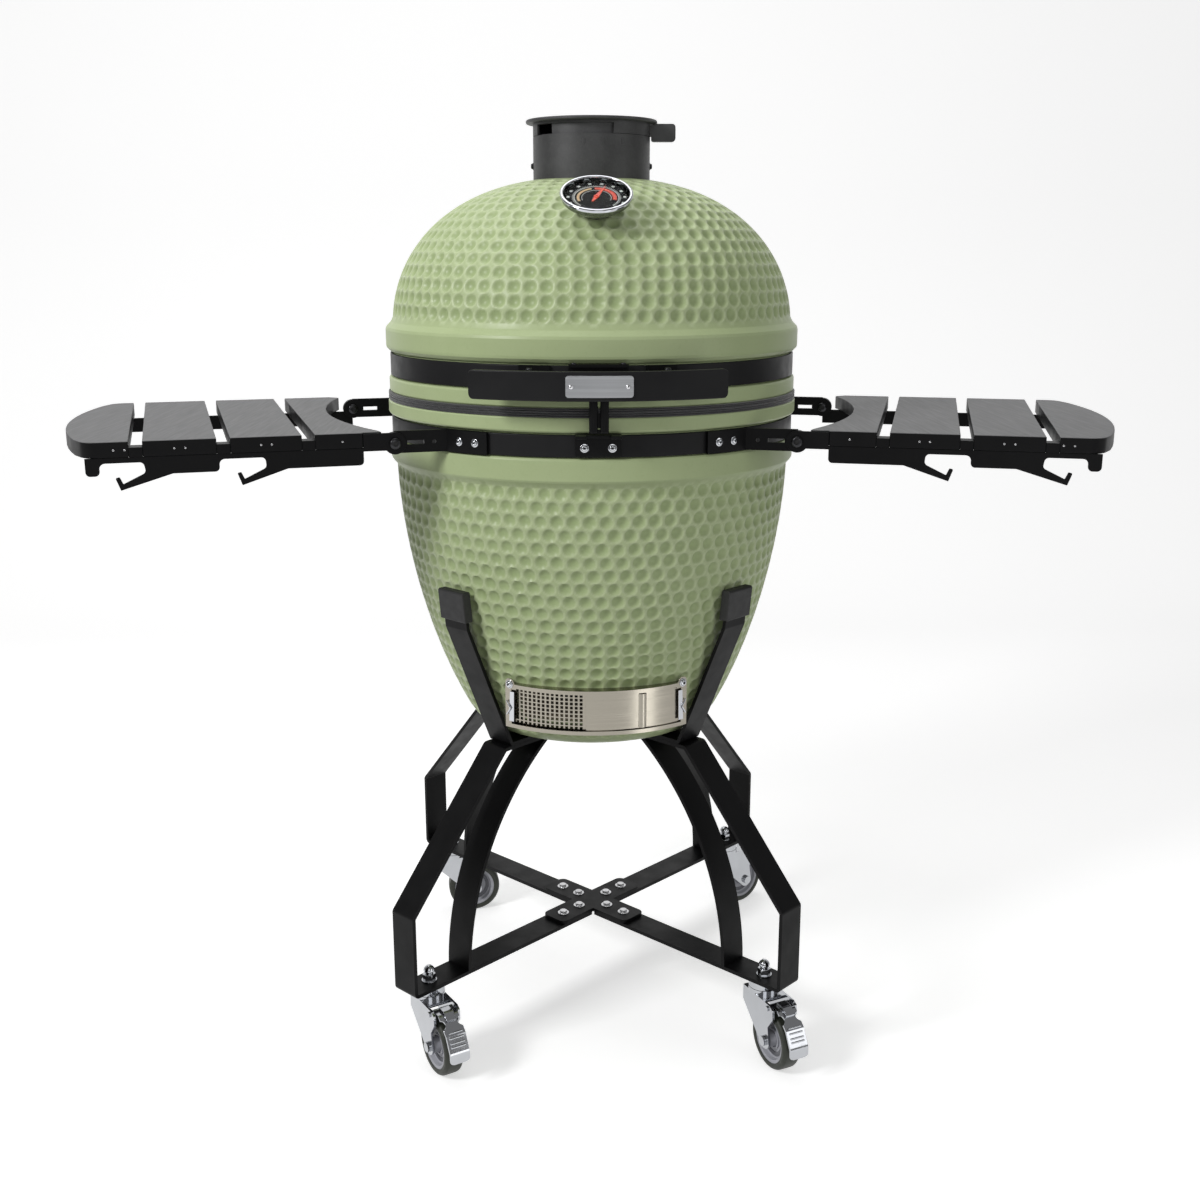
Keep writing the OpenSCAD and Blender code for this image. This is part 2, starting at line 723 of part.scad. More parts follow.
// Front plate: an arm beside the first slat, and under the slats a long web with two notches,
// a tab at the outer end and a tool hook in each notch.
hook_drop = 55;
arm_drop = 22;
web_drop = 38;
function hook_pts(u) = [[u + 48, -hook_drop], [u + 53, -hook_drop + 14],
    [u + 48.5, -hook_drop + 15], [u + 45, -hook_drop + 7], [u + 20, -web_drop + 2]];
function notch(u0, u1) = [[u0, -web_drop + 6], [u0, -24], [u1, -24], [u1, -web_drop]];
function front_plate_outline() = let (top = -1.5) concat(
    [[pivot_u, top], [pivot_u, -arm_drop], [arm_end_u, -arm_drop], [arm_end_u, -web_drop],
        [409, -web_drop]],
    hook_pts(413), notch(434, 485), [[536, -web_drop]], hook_pts(545), notch(567, 614),
    [[629, -web_drop], [629, -slat_t], [arm_end_u, -slat_t], [arm_end_u, top]]);

module rails() {
    bottom = shelf_top_z - slat_t;
    difference() {
        union() {
            translate([0, plate_front_v - rail_t / 2, shelf_top_z])
                plate_xz(front_plate_outline(), rail_t);
            rod_y(eye_r, plate_front_v - rail_t, plate_front_v, pivot_u, pivot_z);
            for (i = [0:2])
                translate([slat_u0 + slat_w + i * slat_pitch, slat_front_v, bottom])
                    cube([slat_pitch - slat_w, 22, 11]);
            translate([0, rail_rear_v + rail_t / 2, 0])
                plate_xz(box_outline(pivot_u, bottom - 19, rear_rail_u, bottom), rail_t);
            rod_y(eye_r, rail_rear_v, rail_rear_v + rail_t, pivot_u, pivot_z);
        }
        rod_y(pivot_r + pin_gap, -200, 300, pivot_u, pivot_z);
    }
}

module left_shelf_rails() {
    color(BLACK) left_side() rails();
}

module right_shelf_rails() {
    color(BLACK) right_side() rails();
}

// Fixed plates that carry the shelves: a front and a rear one on each side, with a band flange.
module mounts_one_side() {
    front_u = 223;
    rear_u = 119;
    slot_h = 5;
    z0 = base_band_z[0];
    z1 = base_band_z[1];
    difference() {
        union() {
            translate([front_u, mount_front_v, z0]) cube([pivot_u - front_u, mount_t, z1 - z0]);
            rod_y(eye_r, mount_front_v, mount_front_v + mount_t, pivot_u, pivot_z);
            ring_part(band_r + 0.5, band_r + 4.5, z0, z1, flange_front[0], flange_front[1]);
            translate([rear_u, mount_rear_v, z0]) cube([pivot_u - rear_u, mount_t, z1 - z0]);
            rod_y(eye_r, mount_rear_v, mount_rear_v + mount_t, pivot_u, pivot_z);
            ring_part(band_r + 0.5, band_r + 4.5, z0, z1, flange_rear[0], flange_rear[1]);
        }
        rod_y(pivot_r + pin_gap, -200, 300, pivot_u, pivot_z);
        translate([250, -200, pivot_z - slot_h / 2]) cube([20, 500, slot_h]);
        rod_y(2.5, -200, 0, 238, pivot_z);
    }
}

module shelf_mounts() {
    color(BLACK) both_sides() mounts_one_side();
}

/* ---- Stand, drawn along +X for one leg: x is the diagonal distance from the axis ---- */

foot_z = 402;
strut_c = [-105, 107];
strut_r = 362;
brace_top_z = brace_z + bar_t;
leg_top_r = 185;
foot_in_r = 100;
plate_bolt_r = [28, 60];
LEG_A = [225, 315, 135, 45];

module leg() {
    path = rounded_path([[22, brace_z], [leg_r, brace_z], [leg_r, knee_z], [leg_top_r, foot_z],
        [foot_in_r, foot_z]], 7);
    difference() {
        union() {
            plate_xz(strip(path, bar_t), bar_w);
            intersection() {
                translate([strut_c[0], 0, strut_c[1]]) rotate([90, 0, 0]) difference() {
                    cylinder(r = strut_r, h = bar_w, center = true);
                    cylinder(r = strut_r - bar_t, h = bar_w + 2, center = true);
                }
                translate([0, -bar_w, brace_top_z - 1])
                    cube([leg_r, 2 * bar_w, foot_z - bar_t - brace_top_z + 2]);
            }
        }
        for (r = plate_bolt_r) translate([r, 0, 0]) cylinder(r = 3.4, h = foot_z / 2);
        translate([stem_d, 0, 0]) cylinder(r = 5.2, h = knee_z);
    }
}

module stand_leg_fl() {
    color(BLACK) rotate([0, 0, LEG_A[0]]) leg();
}

module stand_leg_fr() {
    color(BLACK) rotate([0, 0, LEG_A[1]]) leg();
}

module stand_leg_rl() {
    color(BLACK) rotate([0, 0, LEG_A[2]]) leg();
}

module stand_leg_rr() {
    color(BLACK) rotate([0, 0, LEG_A[3]]) leg();
}

// Upper arms, bolted on the legs' feet, that follow the bowl.
arm_bend = [178, 404];
arm_mid = [246, 571];
arm_top = [251, 618];
module cradle_arms() {
    path = rounded_path([[foot_in_r, foot_z + 0.1], [arm_bend[0] - 4, foot_z + 0.1], arm_mid, arm_top],
        5);
    color(BLACK) for (a = LEG_A) rotate([0, 0, a]) plate_xz(strip(path, bar_t - 0.3), bar_w);
}

// Rubber caps over the tops of the arms.
module cradle_pads() {
    pad = 4;
    low = 582;
    slope = (arm_top[0] - arm_mid[0]) / (arm_top[1] - arm_mid[1]);
    x0 = arm_mid[0] + slope * (low - arm_mid[1]);
    color(RUBBER) for (a = LEG_A) rotate([0, 0, a]) difference() {
        plate_xz([[x0 - bar_t - pad, low], [x0 + pad, low], [arm_top[0] + pad, arm_top[1] + 1],
            [arm_top[0] + pad - 2, arm_top[1] + 3], [arm_top[0] - bar_t - pad + 1, arm_top[1] + 3],
            [arm_top[0] - bar_t - pad, arm_top[1] + 1]], bar_w + 6);
        plate_xz([[x0 - bar_t, low - 1], [x0 + 0.1, low - 1], [arm_top[0] + 0.1, arm_top[1] + 0.8],
            [arm_top[0] - bar_t, arm_top[1] + 0.8]], bar_w + 0.2);
    }
}

cross_half = 81;
cross_w = bar_w + 2;
module cross_plate() {
    color(BLACK) difference() {
        for (a = [45, 135]) rotate([0, 0, a]) translate([0, 0, brace_top_z])
            linear_extrude(height = bar_t) polygon(rounded_outline(
                box_outline(-cross_half, -cross_w / 2, cross_half, cross_w / 2), 9));
        for (a = LEG_A, r = plate_bolt_r) rotate([0, 0, a]) translate([r, 0, 0])
            cylinder(r = 3.4, h = knee_z);
    }
}

// Bolts through the cross plate, and bolts that hold the arms' feet.
module stand_bolts() {
    top = brace_top_z + bar_t;
    color(CHROME) for (a = LEG_A) rotate([0, 0, a]) {
        for (r = plate_bolt_r) translate([r, 0, 0]) {
            translate([0, 0, brace_z - 5]) cylinder(r = 3.1, h = top - brace_z + 6);
            translate([0, 0, top]) cylinder(r = 8, h = 1.2);
            translate([0, 0, top + 1]) cylinder(r = 5, h = 3);
            translate([0, 0, brace_z - 5]) cylinder(r = 5.5, h = 5);
        }
        translate([145, 0, foot_z - bar_t - 4]) cylinder(r = 6, h = 4);
    }
}

/* ---- Casters, drawn at the swivel axis with the wheel trailing along +X ---- */

// Trail direction of each caster, seen from above: front left, front right, rear left, rear right.
TRAIL_A = [-60, -66, 8, 37];
race_r = 20;
race_z = 99.5;
crown_z = 94;
stem_r = 5;
fork_in = 15.5;
fork_t = 3;
axle_r = 4;
pedal_pin = [38, 88];
pedal_pin_r = 2;

module at_caster(i) {
    rotate([0, 0, LEG_A[i]]) translate([stem_d, 0, 0]) rotate([0, 0, TRAIL_A[i] - LEG_A[i]])
        children();
}

module stem() {
    cylinder_z = crown_z - 9;
    translate([0, 0, cylinder_z]) cylinder(r = stem_r, h = brace_top_z + 16 - cylinder_z);
    translate([0, 0, cylinder_z]) cylinder(r = 9, h = 3.6);
    translate([0, 0, race_z]) cylinder(r = race_r, h = brace_z - race_z);
    translate([0, 0, brace_top_z]) cylinder(r = 10, h = 1.5);
    translate([0, 0, brace_top_z + 1]) cylinder(r = 8.5, h = 9, $fn = 6);
    translate([0, 0, brace_top_z + 9]) rotate_extrude()
        polygon(concat([[0, 0]], arc([0, 5], 7.5, 0, 90, 6), [[0, 12.5]]));
}

module caster_stems() {
    color(CHROME) for (i = [0:3]) at_caster(i) stem();
}

module fork() {
    side = concat([[-20, crown_z], [-20, 74]], arc([trail, wheel_r], 11, 230, 350, 8),
        [[40, 62], [51, 78], [50, 90], [43, crown_z]]);
    difference() {
        union() {
            for (s = [-1, 1]) translate([0, s * (fork_in + fork_t / 2), 0]) plate_xz(side, fork_t);
            translate([-20, -fork_in - 1, crown_z - 4]) cube([48, 2 * fork_in + 2, 4]);
            translate([0, 0, crown_z - 1]) cylinder(r = race_r, h = race_z - gap - crown_z + 1);
        }
        translate([0, 0, crown_z - 10]) cylinder(r = stem_r + pin_gap, h = 20);
        rod_y(axle_r + 0.1, -30, 30, trail, wheel_r);
        rod_y(pedal_pin_r + pin_gap, -30, 30, pedal_pin[0], pedal_pin[1]);
    }
    axle_end = fork_in + fork_t + 0.2;
    rod_y(axle_r, -axle_end - 1, axle_end + 1, trail, wheel_r);
    for (s = [-1, 1]) rod_y(6.5, s > 0 ? axle_end : -axle_end - 4, s > 0 ? axle_end + 4 : -axle_end,
        trail, wheel_r);
}

module brake_fork() {
    fork();
    end = fork_in + fork_t;
    rod_y(pedal_pin_r, -end - 2, end + 2, pedal_pin[0], pedal_pin[1]);
    for (s = [-1, 1]) rod_y(3.5, s > 0 ? end + 0.2 : -end - 2, s > 0 ? end + 2 : -end - 0.2,
        pedal_pin[0], pedal_pin[1]);
}

module tyre() {
    inner = wheel_r - 9;
    h = tyre_w / 2;
    translate([trail, 0, wheel_r]) rotate([90, 0, 0]) rotate_extrude() polygon(concat(
        [[inner, h - 1]], arc([wheel_r - 6, h - 6], 6, 80, 10, 4), [[wheel_r, h - 7],
        [wheel_r, 7 - h]], arc([wheel_r - 6, 6 - h], 6, -10, -80, 4), [[inner, 1 - h]]));
}

module hub() {
    inner = wheel_r - 9;
    boss = fork_in - gap;
    web = 4;
    translate([trail, 0, wheel_r]) rotate([90, 0, 0]) rotate_extrude() polygon(concat(
        [[axle_r + pin_gap, boss], [9, boss], [10, web], [inner - 5, web], [inner - 4, 11],
        [inner, 11], [inner, -11], [inner - 4, -11], [inner - 5, -web], [10, -web], [9, -boss],
        [axle_r + pin_gap, -boss]]));
}

// Brake pedal: a bent plate that hangs in front of the tyre from a pin in the fork.
module pedal() {
    w = 2 * fork_in - 3;
    path = rounded_path([[pedal_pin[0], pedal_pin[1] + 3.5], [54, 91], [75, 73], [86, 52],
        [87, 39]], 8);
    difference() {
        union() {
            plate_xz(strip(path, -3), w);
            rod_y(4.5, -w / 2, w / 2, pedal_pin[0], pedal_pin[1]);
            for (t = [0.2, 0.45, 0.7]) translate([86 - 9 * (1 - t), 0, 52 + 18 * (1 - t)])
                rod_y(1.2, -w / 2 + 4, w / 2 - 4, 0, 0);
        }
        rod_y(pedal_pin_r + pin_gap, -30, 30, pedal_pin[0], pedal_pin[1]);
    }
}

module caster_fl_fork() {
    color(CHROME) at_caster(0) brake_fork();
}

module caster_fr_fork() {
    color(CHROME) at_caster(1) brake_fork();
}

module caster_rl_fork() {
    color(CHROME) at_caster(2) fork();
}

module caster_rr_fork() {
    color(CHROME) at_caster(3) fork();
}

module caster_fl_pedal() {
    color(CHROME) at_caster(0) pedal();
}

module caster_fr_pedal() {
    color(CHROME) at_caster(1) pedal();
}

module caster_fl_tyre() {
    color(RUBBER) at_caster(0) tyre();
}

module caster_fr_tyre() {
    color(RUBBER) at_caster(1) tyre();
}

module caster_rl_tyre() {
    color(RUBBER) at_caster(2) tyre();
}

module caster_rr_tyre() {
    color(RUBBER) at_caster(3) tyre();
}

module caster_fl_hub() {
    color(HUB) at_caster(0) hub();
}

module caster_fr_hub() {
    color(HUB) at_caster(1) hub();
}

module caster_rl_hub() {
    color(HUB) at_caster(2) hub();
}

module caster_rr_hub() {
    color(HUB) at_caster(3) hub();
}

stand_leg_fl();
stand_leg_fr();
stand_leg_rl();
stand_leg_rr();
cradle_arms();
cradle_pads();
cross_plate();
stand_bolts();
caster_stems();
fire_bowl();
fire_box();
fire_ring();
charcoal_grate();
cooking_grate();
lower_gasket();
base_band();
hinge_base();
hinge_springs();
hinge_pin();
latch_keeper();
vent_frame();
base_bolts();
shelf_mounts();
draft_door();
ash_screen();
dome_lid();
upper_gasket();
lid_band();
hinge_lid();
handle_bar();
handle_brackets();
name_plate();
lid_bolts();
thermometer_case();
thermometer_dial();
thermometer_glass();
thermometer_probe();
thermometer_needle();
chimney_collar();
vent_cap();
lid_latch();
left_shelf_rails();
left_shelf_slats();
right_shelf_rails();
right_shelf_slats();
caster_fl_fork();
caster_fr_fork();
caster_rl_fork();
caster_rr_fork();
caster_fl_tyre();
caster_fr_tyre();
caster_rl_tyre();
caster_rr_tyre();
caster_fl_hub();
caster_fr_hub();
caster_rl_hub();
caster_rr_hub();
caster_fl_pedal();
caster_fr_pedal();
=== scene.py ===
"""Looks of a ceramic charcoal grill on a wheeled stand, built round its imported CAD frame.
Shapes are written in millimetres and turned to metres when a piece is made."""
import json
import math

import bmesh
import bpy
import numpy as np
from mathutils import Matrix, Vector


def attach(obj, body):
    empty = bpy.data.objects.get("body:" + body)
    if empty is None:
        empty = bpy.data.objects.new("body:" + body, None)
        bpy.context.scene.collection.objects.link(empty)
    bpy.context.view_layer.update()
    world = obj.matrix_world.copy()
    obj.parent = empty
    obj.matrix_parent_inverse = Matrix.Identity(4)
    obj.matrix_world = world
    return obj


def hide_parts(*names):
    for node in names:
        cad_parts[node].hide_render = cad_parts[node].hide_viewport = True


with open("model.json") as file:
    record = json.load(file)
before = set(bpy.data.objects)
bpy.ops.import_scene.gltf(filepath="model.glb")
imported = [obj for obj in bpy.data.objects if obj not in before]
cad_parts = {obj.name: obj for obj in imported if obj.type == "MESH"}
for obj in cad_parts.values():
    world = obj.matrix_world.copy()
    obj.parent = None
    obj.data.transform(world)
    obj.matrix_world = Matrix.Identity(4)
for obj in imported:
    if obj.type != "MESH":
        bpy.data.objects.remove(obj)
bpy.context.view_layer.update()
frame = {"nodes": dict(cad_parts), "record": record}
MM = 0.001


# ---- Materials ----

def linear(rgb):
    return tuple(((v / 255 + 0.055) / 1.055) ** 2.4 if v > 10 else v / 3294.6 for v in rgb) + (1.0,)


class Graph:
    """A small helper round one material's nodes."""

    def __init__(self, name):
        self.mat = bpy.data.materials.new(name)
        self.mat.use_nodes = True
        self.nodes = self.mat.node_tree.nodes
        self.links = self.mat.node_tree.links
        self.shader = self.nodes["Principled BSDF"]
        self.coord = self.nodes.new("ShaderNodeTexCoord").outputs["Object"]

    def set(self, **values):
        for key, value in values.items():
            self.shader.inputs[key.replace("_", " ").title().replace("Ior", "IOR")].default_value = value

    def node(self, kind, links=None, **values):
        n = self.nodes.new("ShaderNode" + kind)
        for key, value in values.items():
            setattr(n, key, value)
        for key, value in (links or {}).items():
            if isinstance(value, bpy.types.NodeSocket):
                self.links.new(value, n.inputs[key])
            else:
                n.inputs[key].default_value = value
        return n

    def mapped(self, scale=(1, 1, 1), turn=0.0):
        return self.node("Mapping", {"Vector": self.coord, "Scale": scale,
                                     "Rotation": (0, 0, math.radians(turn))}).outputs["Vector"]

    def noise(self, scale, detail=3.0, rough=0.55, vector=None, distortion=0.0):
        return self.node("TexNoise", {"Vector": vector or self.coord, "Scale": scale, "Detail": detail,
                                      "Roughness": rough, "Distortion": distortion}).outputs["Fac"]

    def ramp(self, fac, stops):
        r = self.node("ValToRGB", {"Fac": fac})
        e = r.color_ramp.elements
        while len(e) < len(stops):
            e.new(0.5)
        for item, (pos, col) in zip(e, stops):
            item.position = pos
            item.color = col if len(col) == 4 else (*col, 1.0)
        return r.outputs["Color"]

    def mix(self, fac, a, b, mode="MIX"):
        m = self.node("Mix", data_type="RGBA", blend_type=mode)
        for i, value in ((0, fac), (6, a), (7, b)):
            if isinstance(value, bpy.types.NodeSocket):
                self.links.new(value, m.inputs[i])
            else:
                m.inputs[i].default_value = value
        return m.outputs[2]

    def spread(self, fac, low, high, start=0.3, end=0.7):
        return self.node("MapRange", {"Value": fac, "From Min": start, "From Max": end,
                                      "To Min": low, "To Max": high}).outputs["Result"]

    def color(self, socket):
        self.links.new(socket, self.shader.inputs["Base Color"])

    def roughness(self, socket):
        self.links.new(socket, self.shader.inputs["Roughness"])

    def bump(self, layers):
        """layers: (height socket, strength, distance in mm), from coarse to fine."""
        normal = None
        for height, strength, distance in layers:
            links = {"Height": height, "Strength": strength, "Distance": distance * MM}
            if normal:
                links["Normal"] = normal
            normal = self.node("Bump", links).outputs["Normal"]
        self.links.new(normal, self.shader.inputs["Normal"])


def shade(rgb, k):
    c = linear(rgb)
    return tuple(min(1.0, v * k) for v in c[:3]) + (1.0,)


def plain(name, rgb, rough, metallic=0.0, vary=0.10, scale=30.0, grain=700.0, bump=0.08, depth=0.05,
          rough_vary=0.06, **extra):
    """Colour, roughness and fine relief that vary a little over the surface."""
    g = Graph(name)
    g.set(metallic=metallic, **extra)
    cloud = g.noise(scale, 4.0)
    fine = g.noise(grain, 2.0)
    g.color(g.ramp(cloud, [(0.3, shade(rgb, 1 - vary)), (0.7, shade(rgb, 1 + vary))]))
    g.roughness(g.spread(g.noise(scale * 3.1, 5.0), max(0.02, rough - rough_vary), rough + rough_vary))
    g.bump([(fine, bump, depth)])
    return g.mat


def ceramic_glaze():
    g = Graph("sage_glaze")
    g.set(coat_weight=0.1, coat_roughness=0.25, ior=1.48, specular_ior_level=0.34)
    cloud = g.noise(5.0, 5.0, 0.6)
    speck = g.noise(230.0, 3.0, 0.7)
    glaze_pool_and_shade = g.node("Attribute", attribute_name="dimple").outputs["Fac"]
    base = g.ramp(cloud, [(0.32, linear((171, 186, 138))), (0.68, linear((181, 195, 149)))])
    # Darker towards each hollow's floor: partly glaze pooling, partly painted shade in the hollows.
    base = g.mix(g.spread(glaze_pool_and_shade, 0.0, 0.5, 0.0, 1.0), base, linear((142, 161, 108)))
    # Lighter ring round each hollow's rim: a painted highlight on the rims.
    rim = g.node("Attribute", attribute_name="rim").outputs["Fac"]
    base = g.mix(g.spread(rim, 0.0, 0.5, 0.0, 1.0), base, linear((206, 218, 178)))
    base = g.mix(g.spread(speck, 0.0, 0.18, 0.55, 0.75), base, linear((142, 160, 110)))
    g.color(base)
    g.roughness(g.spread(g.noise(40.0, 4.0), 0.38, 0.5))
    g.bump([(g.noise(22.0, 3.0), 0.12, 0.6), (g.noise(420.0, 2.0), 0.05, 0.08)])
    return g.mat


def raw_ceramic():
    g = Graph("raw_ceramic")
    cloud = g.noise(14.0, 6.0, 0.65)
    pit = g.noise(260.0, 4.0, 0.7)
    c = g.ramp(cloud, [(0.3, linear((176, 158, 130))), (0.7, linear((203, 188, 160)))])
    c = g.mix(g.spread(pit, 0.0, 0.5, 0.55, 0.8), c, linear((120, 104, 84)))
    g.color(c)
    g.roughness(g.spread(pit, 0.75, 0.95))
    g.bump([(cloud, 0.25, 1.0), (pit, 0.4, 0.4)])
    return g.mat


def brushed(name, rgb, rough, streak=(4.0, 4.0, 900.0), strength=0.12):
    """Steel with fine lines and large soft patches of painted darker reflection; streak is how fast the
    pattern changes along each axis.
    """
    g = Graph(name)
    g.set(metallic=1.0, anisotropic=0.5)
    lines = g.noise(1.0, 3.0, 0.6, g.mapped(streak))
    # Large soft patches darkened towards 0.8 of the colour: painted variation in reflection across the steel.
    cloud = g.noise(9.0, 4.0)
    c = g.ramp(lines, [(0.25, shade(rgb, 0.86)), (0.75, shade(rgb, 1.08))])
    c = g.mix(g.spread(cloud, 0.0, 0.25), c, shade(rgb, 0.8))
    g.color(c)
    g.roughness(g.spread(lines, rough - 0.05, rough + 0.1))
    g.bump([(lines, strength, 0.03)])
    return g.mat


def powder_coat(name="black_powder_coat", rgb=(11, 11, 12), rough=0.42):
    g = Graph(name)
    g.set(ior=1.5, specular_ior_level=0.12)
    cloud = g.noise(7.0, 4.0)
    orange_peel = g.noise(520.0, 2.0, 0.5)
    dust = g.noise(90.0, 6.0, 0.7)
    c = g.ramp(cloud, [(0.3, shade(rgb, 0.85)), (0.7, shade(rgb, 1.2))])
    c = g.mix(g.spread(dust, 0.0, 0.16, 0.58, 0.8), c, linear((40, 40, 42)))
    g.color(c)
    g.roughness(g.spread(g.noise(33.0, 5.0), rough - 0.06, rough + 0.09))
    g.bump([(orange_peel, 0.16, 0.12)])
    return g.mat


def cast_iron():
    g = Graph("cast_chimney_iron")
    g.set(metallic=0.35, ior=1.5)
    grain = g.noise(340.0, 5.0, 0.75)
    cloud = g.noise(24.0, 5.0, 0.6)
    c = g.ramp(cloud, [(0.3, linear((56, 56, 57))), (0.7, linear((74, 74, 75)))])
    c = g.mix(g.spread(grain, 0.0, 0.3, 0.5, 0.8), c, linear((100, 100, 101)))
    g.color(c)
    g.roughness(g.spread(grain, 0.4, 0.58))
    g.bump([(cloud, 0.15, 0.6), (grain, 0.45, 0.3)])
    return g.mat


def felt():
    g = Graph("gasket_felt")
    g.set(sheen_weight=0.5, sheen_roughness=0.4)
    fibre = g.noise(1.0, 4.0, 0.7, g.mapped((60, 60, 900)))
    c = g.ramp(fibre, [(0.3, linear((17, 17, 18))), (0.75, linear((52, 52, 55)))])
    g.color(c)
    g.roughness(g.spread(fibre, 0.42, 0.8))
    g.bump([(g.noise(160.0, 3.0), 0.3, 0.5), (fibre, 0.5, 0.4)])
    return g.mat


def slat_lit_top(name, turn):
    g = Graph(name)
    g.set(ior=1.46, specular_ior_level=0.4)
    along = g.mapped((330, 14, 330), turn)
    grain = g.noise(1.0, 6.0, 0.62, along, 0.4)
    cloud = g.noise(6.0, 3.0)
    # The slat tops get a light grey that is painted light for the lit tops, over real grain; faces that don't
    # look up get a near-black painted shade.
    c = g.ramp(grain, [(0.2, linear((94, 94, 95))), (0.8, linear((101, 101, 102)))])
    c = g.mix(g.spread(cloud, 0.0, 0.3), c, linear((95, 95, 97)))
    g.color(c)
    g.roughness(g.spread(grain, 0.44, 0.58))
    g.bump([(grain, 0.06, 0.06), (g.noise(600.0, 2.0), 0.06, 0.05)])
    return g.mat


def rubber(name, rgb, rough=0.7):
    return plain(name, rgb, rough, vary=0.18, scale=45.0, grain=850.0, bump=0.25, depth=0.12)


GLAZE = ceramic_glaze()
RAW = raw_ceramic()
BLACK = powder_coat()
SATIN = powder_coat("satin_black_steel", (33, 33, 34), 0.36)
STEEL = brushed("warm_brushed_stainless", (152, 147, 136), 0.19, streak=(3.0, 3.0, 1300.0), strength=0.06)
PLATE = brushed("brushed_plate", (188, 190, 193), 0.33, streak=(5.0, 5.0, 1500.0))
IRON = cast_iron()
GRATE = plain("seasoned_iron", (44, 42, 40), 0.6, 0.3, 0.2, 20.0, 420.0, 0.4, 0.3)
WIRE = brushed("grate_steel", (170, 168, 162), 0.3, streak=(300, 6, 300))
FELT = felt()
CHROME = plain("bright_chrome", (184, 186, 190), 0.1, 1.0, 0.04, 26.0, 300.0, 0.04, 0.05, 0.04)
ZINC = plain("zinc_bolts", (204, 204, 206), 0.26, 1.0, 0.1, 60.0, 500.0, 0.1, 0.06, 0.08)
SPRING = plain("dark_spring_steel", (92, 92, 95), 0.35, 1.0, 0.15, 50.0, 400.0, 0.12, 0.08)
PAD = rubber("pad_rubber", (24, 24, 25), 0.62)
TYRE = rubber("tyre_rubber", (36, 40, 30), 0.52)
HUB = plain("hub_plastic", (176, 177, 184), 0.42, 0.0, 0.05, 40.0, 500.0, 0.08, 0.06)
HUB_DARK = plain("hub_ring", (92, 93, 100), 0.4, 0.0, 0.08, 40.0, 500.0, 0.08, 0.06)
CASE = plain("thermometer_shell", (122, 123, 124), 0.26, 1.0, 0.12, 30.0, 350.0, 0.1, 0.08)
SCREW = plain("blackened_screw", (52, 52, 54), 0.3, 0.9, 0.12, 60.0, 500.0, 0.08, 0.05)
# Near-black for the slats' faces that don't look up: painted shade on their sides.
SLAT_SHADED_SIDES = powder_coat("slat_sides_painted_shade", (13, 13, 14), 0.42)
DIAL = plain("dial_black", (13, 13, 14), 0.6, 0.0, 0.2, 60.0, 700.0, 0.05, 0.03, specular_ior_level=0.1)
INK_WHITE = plain("dial_white", (228, 228, 224), 0.5, 0.0, 0.03, 200.0, 900.0, 0.03, 0.02)
INK_CREAM = plain("dial_cream", (226, 190, 140), 0.5, 0.0, 0.05, 200.0, 900.0, 0.03, 0.02)
INK_RED = plain("dial_red", (226, 70, 42), 0.5, 0.0, 0.05, 200.0, 900.0, 0.03, 0.02)
NEEDLE = plain("needle_paint", (236, 72, 36), 0.35, 0.0, 0.05, 150.0, 900.0, 0.04, 0.02)
# Black for painted shade: socket floors, rivet holes and the gap under the thermometer case.
DARK = plain("painted_recess_shade", (12, 12, 12), 0.7, 0.0, 0.2, 60.0, 500.0, 0.1, 0.05)
SLAT_R = slat_lit_top("slat_lit_top_right", 15)
SLAT_L = slat_lit_top("slat_lit_top_left", -15)


def clear_glass():
    g = Graph("dial_glass")
    g.set(transmission_weight=1.0, ior=1.03, specular_ior_level=0.06)
    g.color(g.ramp(g.noise(60.0, 2.0), [(0.3, (0.93, 0.96, 0.97)), (0.7, (0.98, 1.0, 1.0))]))
    g.roughness(g.spread(g.noise(200.0, 3.0), 0.01, 0.04))
    return g.mat


GLASS = clear_glass()


# ---- Shapes ----

def turn(angle, axis="Z"):
    return Matrix.Rotation(math.radians(angle), 4, axis)


def at(x=0.0, y=0.0, z=0.0):
    return Matrix.Translation((x, y, z))


def arc(cx, cy, r, a0, a1, n):
    return [(cx + r * math.cos(math.radians(a0 + (a1 - a0) * i / n)),
             cy + r * math.sin(math.radians(a0 + (a1 - a0) * i / n))) for i in range(n + 1)]


def box_outline(x0, y0, x1, y1):
    return [(x0, y0), (x1, y0), (x1, y1), (x0, y1)]


def rounded(points, r, n=5, closed=True):
    """The outline with its corners rounded; r is one radius, or one for each corner."""
    out = []
    count = len(points)
    for i, p in enumerate(points):
        radius = r[i] if isinstance(r, (list, tuple)) else r
        if radius <= 0 or (not closed and i in (0, count - 1)):
            out.append(tuple(p))
            continue
        p = Vector(p)
        u = Vector(points[i - 1]) - p
        v = Vector(points[(i + 1) % count]) - p
        lu, lv = u.length, v.length
        u.normalize()
        v.normalize()
        half = math.acos(max(-1, min(1, u.dot(v)))) / 2
        if half > math.pi / 2 - 0.01:
            out.append(tuple(p))
            continue
        d = min(radius / math.tan(half), lu * 0.49, lv * 0.49)
        radius = d * math.tan(half)
        centre = p + (u + v).normalized() * radius / math.sin(half)
        s, e = p + u * d - centre, p + v * d - centre
        a0 = math.atan2(s.y, s.x)
        sweep = (math.atan2(e.y, e.x) - a0 + math.pi) % (2 * math.pi) - math.pi
        out += [(centre.x + radius * math.cos(a0 + sweep * k / n),
                 centre.y + radius * math.sin(a0 + sweep * k / n)) for k in range(n + 1)]
    return out


